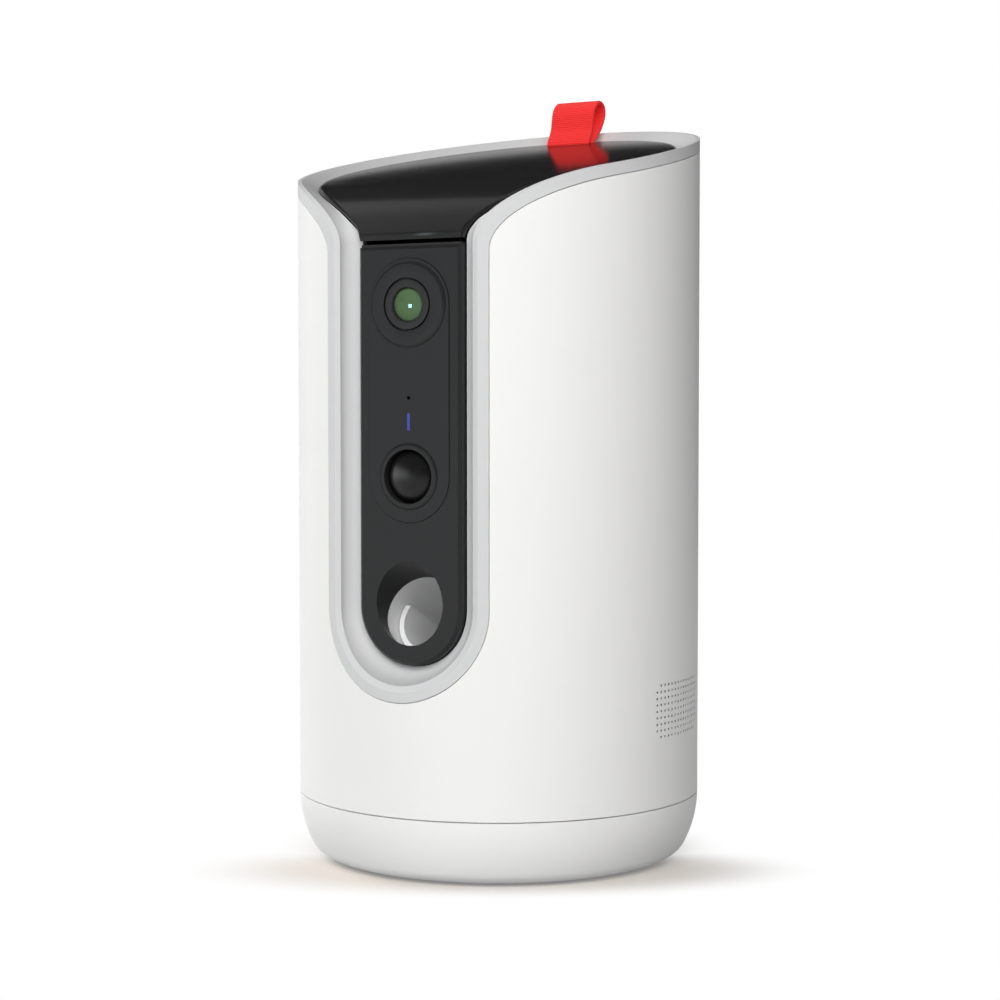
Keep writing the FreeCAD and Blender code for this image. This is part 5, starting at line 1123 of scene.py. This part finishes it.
def onto_line(y, z):
    """Nearest point (y, z) of the lid's side line, and the direction out of the surface there."""
    best_gap = math.inf
    for a, b in zip(lid_line, lid_line[1:]):
        run = b - a
        t = min(max((Vector((y, z)) - a).dot(run) / run.length_squared, 0), 1)
        foot = a + run * t
        gap = (Vector((y, z)) - foot).length
        if gap < best_gap:
            best, best_gap, heading = foot, gap, run.normalized()
    return best, Vector((-heading.y, heading.x))


def heading_at(points, i):
    """Direction of a run of points at one of them."""
    return (points[min(i + 1, len(points) - 1)] - points[max(i - 1, 0)]).normalized()


foot_curve = flare(foot_in, FOOT_TOP, FOOT_R, 1.0)
half_edge = []
for i, spot in enumerate(foot_curve):
    heading = heading_at(foot_curve, i)
    x, z = spot + Vector((-heading.y, heading.x)) * LID_GAP
    half_edge.append(Vector((x, max(-FOOT_DEPTH, -math.sqrt(FOOT_R ** 2 - x ** 2)), z)))
half_edge = [p for p in half_edge if p.z > CHIN[0][1] + CHIN_CLEAR]
half_edge += slanted_arc(LID_R, math.atan2(half_edge[-1].x, -half_edge[-1].y), FOOT_TOP + LID_GAP,
                         2 * HALF_RIM - 1, range(1, HALF_RIM))
lower, corner, upper, normals = [], [], [], []
for p in half_edge:
    spot, out = onto_line(p.y, p.z)
    normals.append(Vector((0, out.x, out.y)))
    lower.append(p - normals[-1] * EDGE_DROP)
    corner.append(Vector((p.x, spot.x, spot.y)))
for i, c in enumerate(corner):
    width = EDGE_NARROW + EDGE_GAIN * min(1.0, i / EDGE_RUN) ** EDGE_POWER
    q = c + normals[i].cross(heading_at(corner, i)) * width
    spot, out = onto_line(q.y, q.z)
    upper.append(Vector((q.x, spot.x, spot.y)))
lid_rows = [[p - n * LID_SKIRT for p, n in zip(lower, normals)], lower]
for i in range(1, ROUND_STEPS + 1):
    lid_rows.append([bend(a, c, b, i / ROUND_STEPS) for a, c, b in zip(lower, corner, upper)])


def whole(half):
    """Both halves of a run of points that starts and ends at the middle plane's two sides."""
    return [tuple(p) for p in half] + [(-p.x, p.y, p.z) for p in reversed(half)]


lid_form = bmesh.new()
edges = chain(lid_form, whole(lid_rows[0]))[1]
for row in lid_rows[1:]:
    edges = draw_on(lid_form, edges, whole(row))
bmesh.ops.bridge_loops(lid_form, edges=[e for e in edges if e.verts[0].co.x * e.verts[1].co.x > 0])
bmesh.ops.recalc_face_normals(lid_form, faces=lid_form.faces)
topmost = max(lid_form.faces, key=lambda face: face.calc_center_median().z)
give_wall(lid_form, topmost, Vector((0, 0, 1)), LID_SIDE)
gloss_black = grained("gloss_black", (0.008, 0.008, 0.0084), 0.16, depth=0.01, mottle=0.02,
                      Specular_IOR_Level=0.3)
lid = finish_form(lid_form, "lid_cover", "lid", "lid_black", "lid_shell", material=gloss_black, sharp=40)
slit = bmesh.new()
box_into(slit, (-SLIT_HALF, SLIT_FRONT, SLIT_LOW), (SLIT_HALF, SLIT_BACK, SLIT_HIGH))
work_on(lid, slit, solver="FAST")
only_on(soft_light("chin_box", -28, 46, 1.3, 2.2, 1.7, 9.5, mirrored=True), lid)


def bin_ring(profile, steps=120):
    """A ring that follows the bin's mouth, from a closed section of (inset, height) points."""
    loops = []
    for inset, height in profile:
        turn = math.acos((BIN_FRONT - inset) / (BIN_R - inset))
        loops.append(slanted_arc(BIN_R - inset, turn, height, steps, range(steps + 1)))
    return ring_of(loops)


under_lid, plug_low = LID_TOP - LID_WALL + PLUG_LAP, LID_TOP - LID_WALL - PLUG_DEPTH
plug_in, lead_top = PLUG_GAP + PLUG_WALL, plug_low + PLUG_LEAD_HIGH
plug = bin_ring([(PLUG_GAP, under_lid), (PLUG_GAP, lead_top), (PLUG_GAP + PLUG_LEAD, plug_low),
                 (plug_in - PLUG_LEAD, plug_low), (plug_in, lead_top), (plug_in, under_lid)])
finish_form(plug, "lid_plug", "lid", "lid_black", "lid_shell", material=gloss_black, sharp=40)

# ---- lid gasket ----
# Clear silicone ring on the lid's plug, with two soft lips that grip the bin's wall.
# Moulded in one piece and stretched over the plug.
GASKET_LOW, GASKET_HIGH, LIP_OUT, GASKET_OUT, LIP_HIGH = 191.0, 194.0, 0.15, 0.42, 0.6
gasket = bin_ring([(PLUG_GAP, GASKET_LOW), (GASKET_OUT, GASKET_LOW), (LIP_OUT, GASKET_LOW + LIP_HIGH),
                   (GASKET_OUT, GASKET_LOW + 2 * LIP_HIGH), (GASKET_OUT, GASKET_HIGH - 2 * LIP_HIGH),
                   (LIP_OUT, GASKET_HIGH - LIP_HIGH), (GASKET_OUT, GASKET_HIGH), (PLUG_GAP, GASKET_HIGH)])
milky_silicone = grained("milky_silicone", (0.55, 0.56, 0.57), 0.5, grain=1200.0, depth=0.1, mottle=0.05)
finish_form(gasket, "lid_seal", "lid", "gasket_silicone", "lid_gasket", material=milky_silicone)

# ---- tab anchor ----
# Small black moulded bar under the lid that the ribbon's two ends are welded to.
# Moulded in black plastic and fixed to the lid's underside, below the slit.
smoothed_copy("tab_anchor", "ribbon_anchor", moulded_black, bevel=0.15)

# ---- pull tab ----
# Woven red ribbon folded over into a loop; both ends go down through a slit and are welded under the
# lid. Ribbed across its width, with soft folded shoulders and woven edges.
TAB_WIDTH, TAB_THICK, TAB_STEPS, TAB_ACROSS = 14.6, 0.9, 6, 12
TAB_PATH = [(48.3, 206.9), (47.6, 210.0), (45.9, 213.4), (46.6, 215.6), (48.2, 218.4), (48.8, 221.3),
            (49.5, 224.0), (50.9, 226.0), (53.6, 227.4), (56.6, 226.3), (57.0, 223.3), (54.2, 219.0),
            (50.5, 215.7), (48.9, 213.5), (50.0, 210.0), (50.3, 206.9)]
RIB_PITCH, YARN_PITCH, YARN_SHARE = 0.62, 0.36, 0.35


def woven_ribbon():
    """Ribbed ribbon weave on a piece's own map, which counts millimetres across and along."""
    tree, given, result = effect_group("woven_ribbon", ("Colour", "Valley Shade", "Depth"))
    where = placed(tree, "TexCoord").outputs["UV"]
    parts = placed(tree, "SeparateXYZ", {"Vector": where}).outputs
    ribs, yarns = (maths(tree, "SINE", maths(tree, "MULTIPLY", parts[way], 2 * math.pi / pitch))
                   for way, pitch in (("Y", RIB_PITCH), ("X", YARN_PITCH)))
    fibre = placed(tree, "TexNoise", {"Vector": where, "Scale": 3.0, "Detail": 4.0}).outputs["Fac"]
    fuzzy = maths(tree, "ADD", maths(tree, "MULTIPLY_ADD", yarns, YARN_SHARE, ribs), fibre)
    # Low places in the weave take the darker valley colour: painted shade in the valleys between ribs and
    # yarns.
    lit = ranged(tree, fuzzy, (-0.8, 1.4), (0.0, 1.0))
    bump = placed(tree, "Bump", {"Distance": 0.00012, "Strength": given["Depth"], "Height": fuzzy})
    feed(tree, result, {"Colour": mixed(tree, lit, given["Valley Shade"], given["Colour"]),
                        "Roughness": ranged(tree, lit, (0.0, 1.0), (0.85, 0.62)), "Normal": bump})
    return tree


# The ribbon's faint red emission is painted light that makes it brighter; it is no lamp.
woven_red = finish("woven_red", woven_ribbon(),
                   {"Colour": (1.0, 0.05, 0.05, 1), "Valley Shade": (0.86, 0.024, 0.024, 1), "Depth": 0.8},
                   {"Sheen Weight": 0.3, "Sheen Roughness": 0.5, "Sheen Tint": (1.0, 0.25, 0.22, 1),
                    "Specular IOR Level": 0.3, "Emission Color": (1.0, 0.02, 0.02, 1),
                    "Emission Strength": 0.12})
run = smooth_run([TAB_PATH[0]] + TAB_PATH + [TAB_PATH[-1]], TAB_STEPS) + [Vector(TAB_PATH[-1])]
length = [0.0]
for a, b in zip(run, run[1:]):
    length.append(length[-1] + (b - a).length)
strip = bmesh.new()
ribbon_map = strip.loops.layers.uv.new("ribbon")
verts, edges = chain(strip, [(-TAB_WIDTH / 2, y, z) for y, z in run])
map_spot = {vert: (0.0, s) for vert, s in zip(verts, length)}
for i in range(TAB_ACROSS):
    across = TAB_WIDTH * (i + 1) / TAB_ACROSS
    edges = draw_on(strip, edges, [(across - TAB_WIDTH / 2, y, z) for y, z in run])
    map_spot.update({vert: (across, s) for vert, s in zip(list(strip.verts)[-len(run):], length)})
for face in strip.faces:
    for corner_loop in face.loops:
        corner_loop[ribbon_map].uv = map_spot[corner_loop.vert]
bmesh.ops.recalc_face_normals(strip, faces=strip.faces)
tab = finish_form(strip, "red_ribbon", "lid", "ribbon_red", "pull_tab", sharp=60, material=woven_red)
body_of_ribbon = tab.modifiers.new("thickness", "SOLIDIFY")
body_of_ribbon.thickness = TAB_THICK * MM
body_of_ribbon.offset = 0
soften(tab, width=0.22, angle=60)
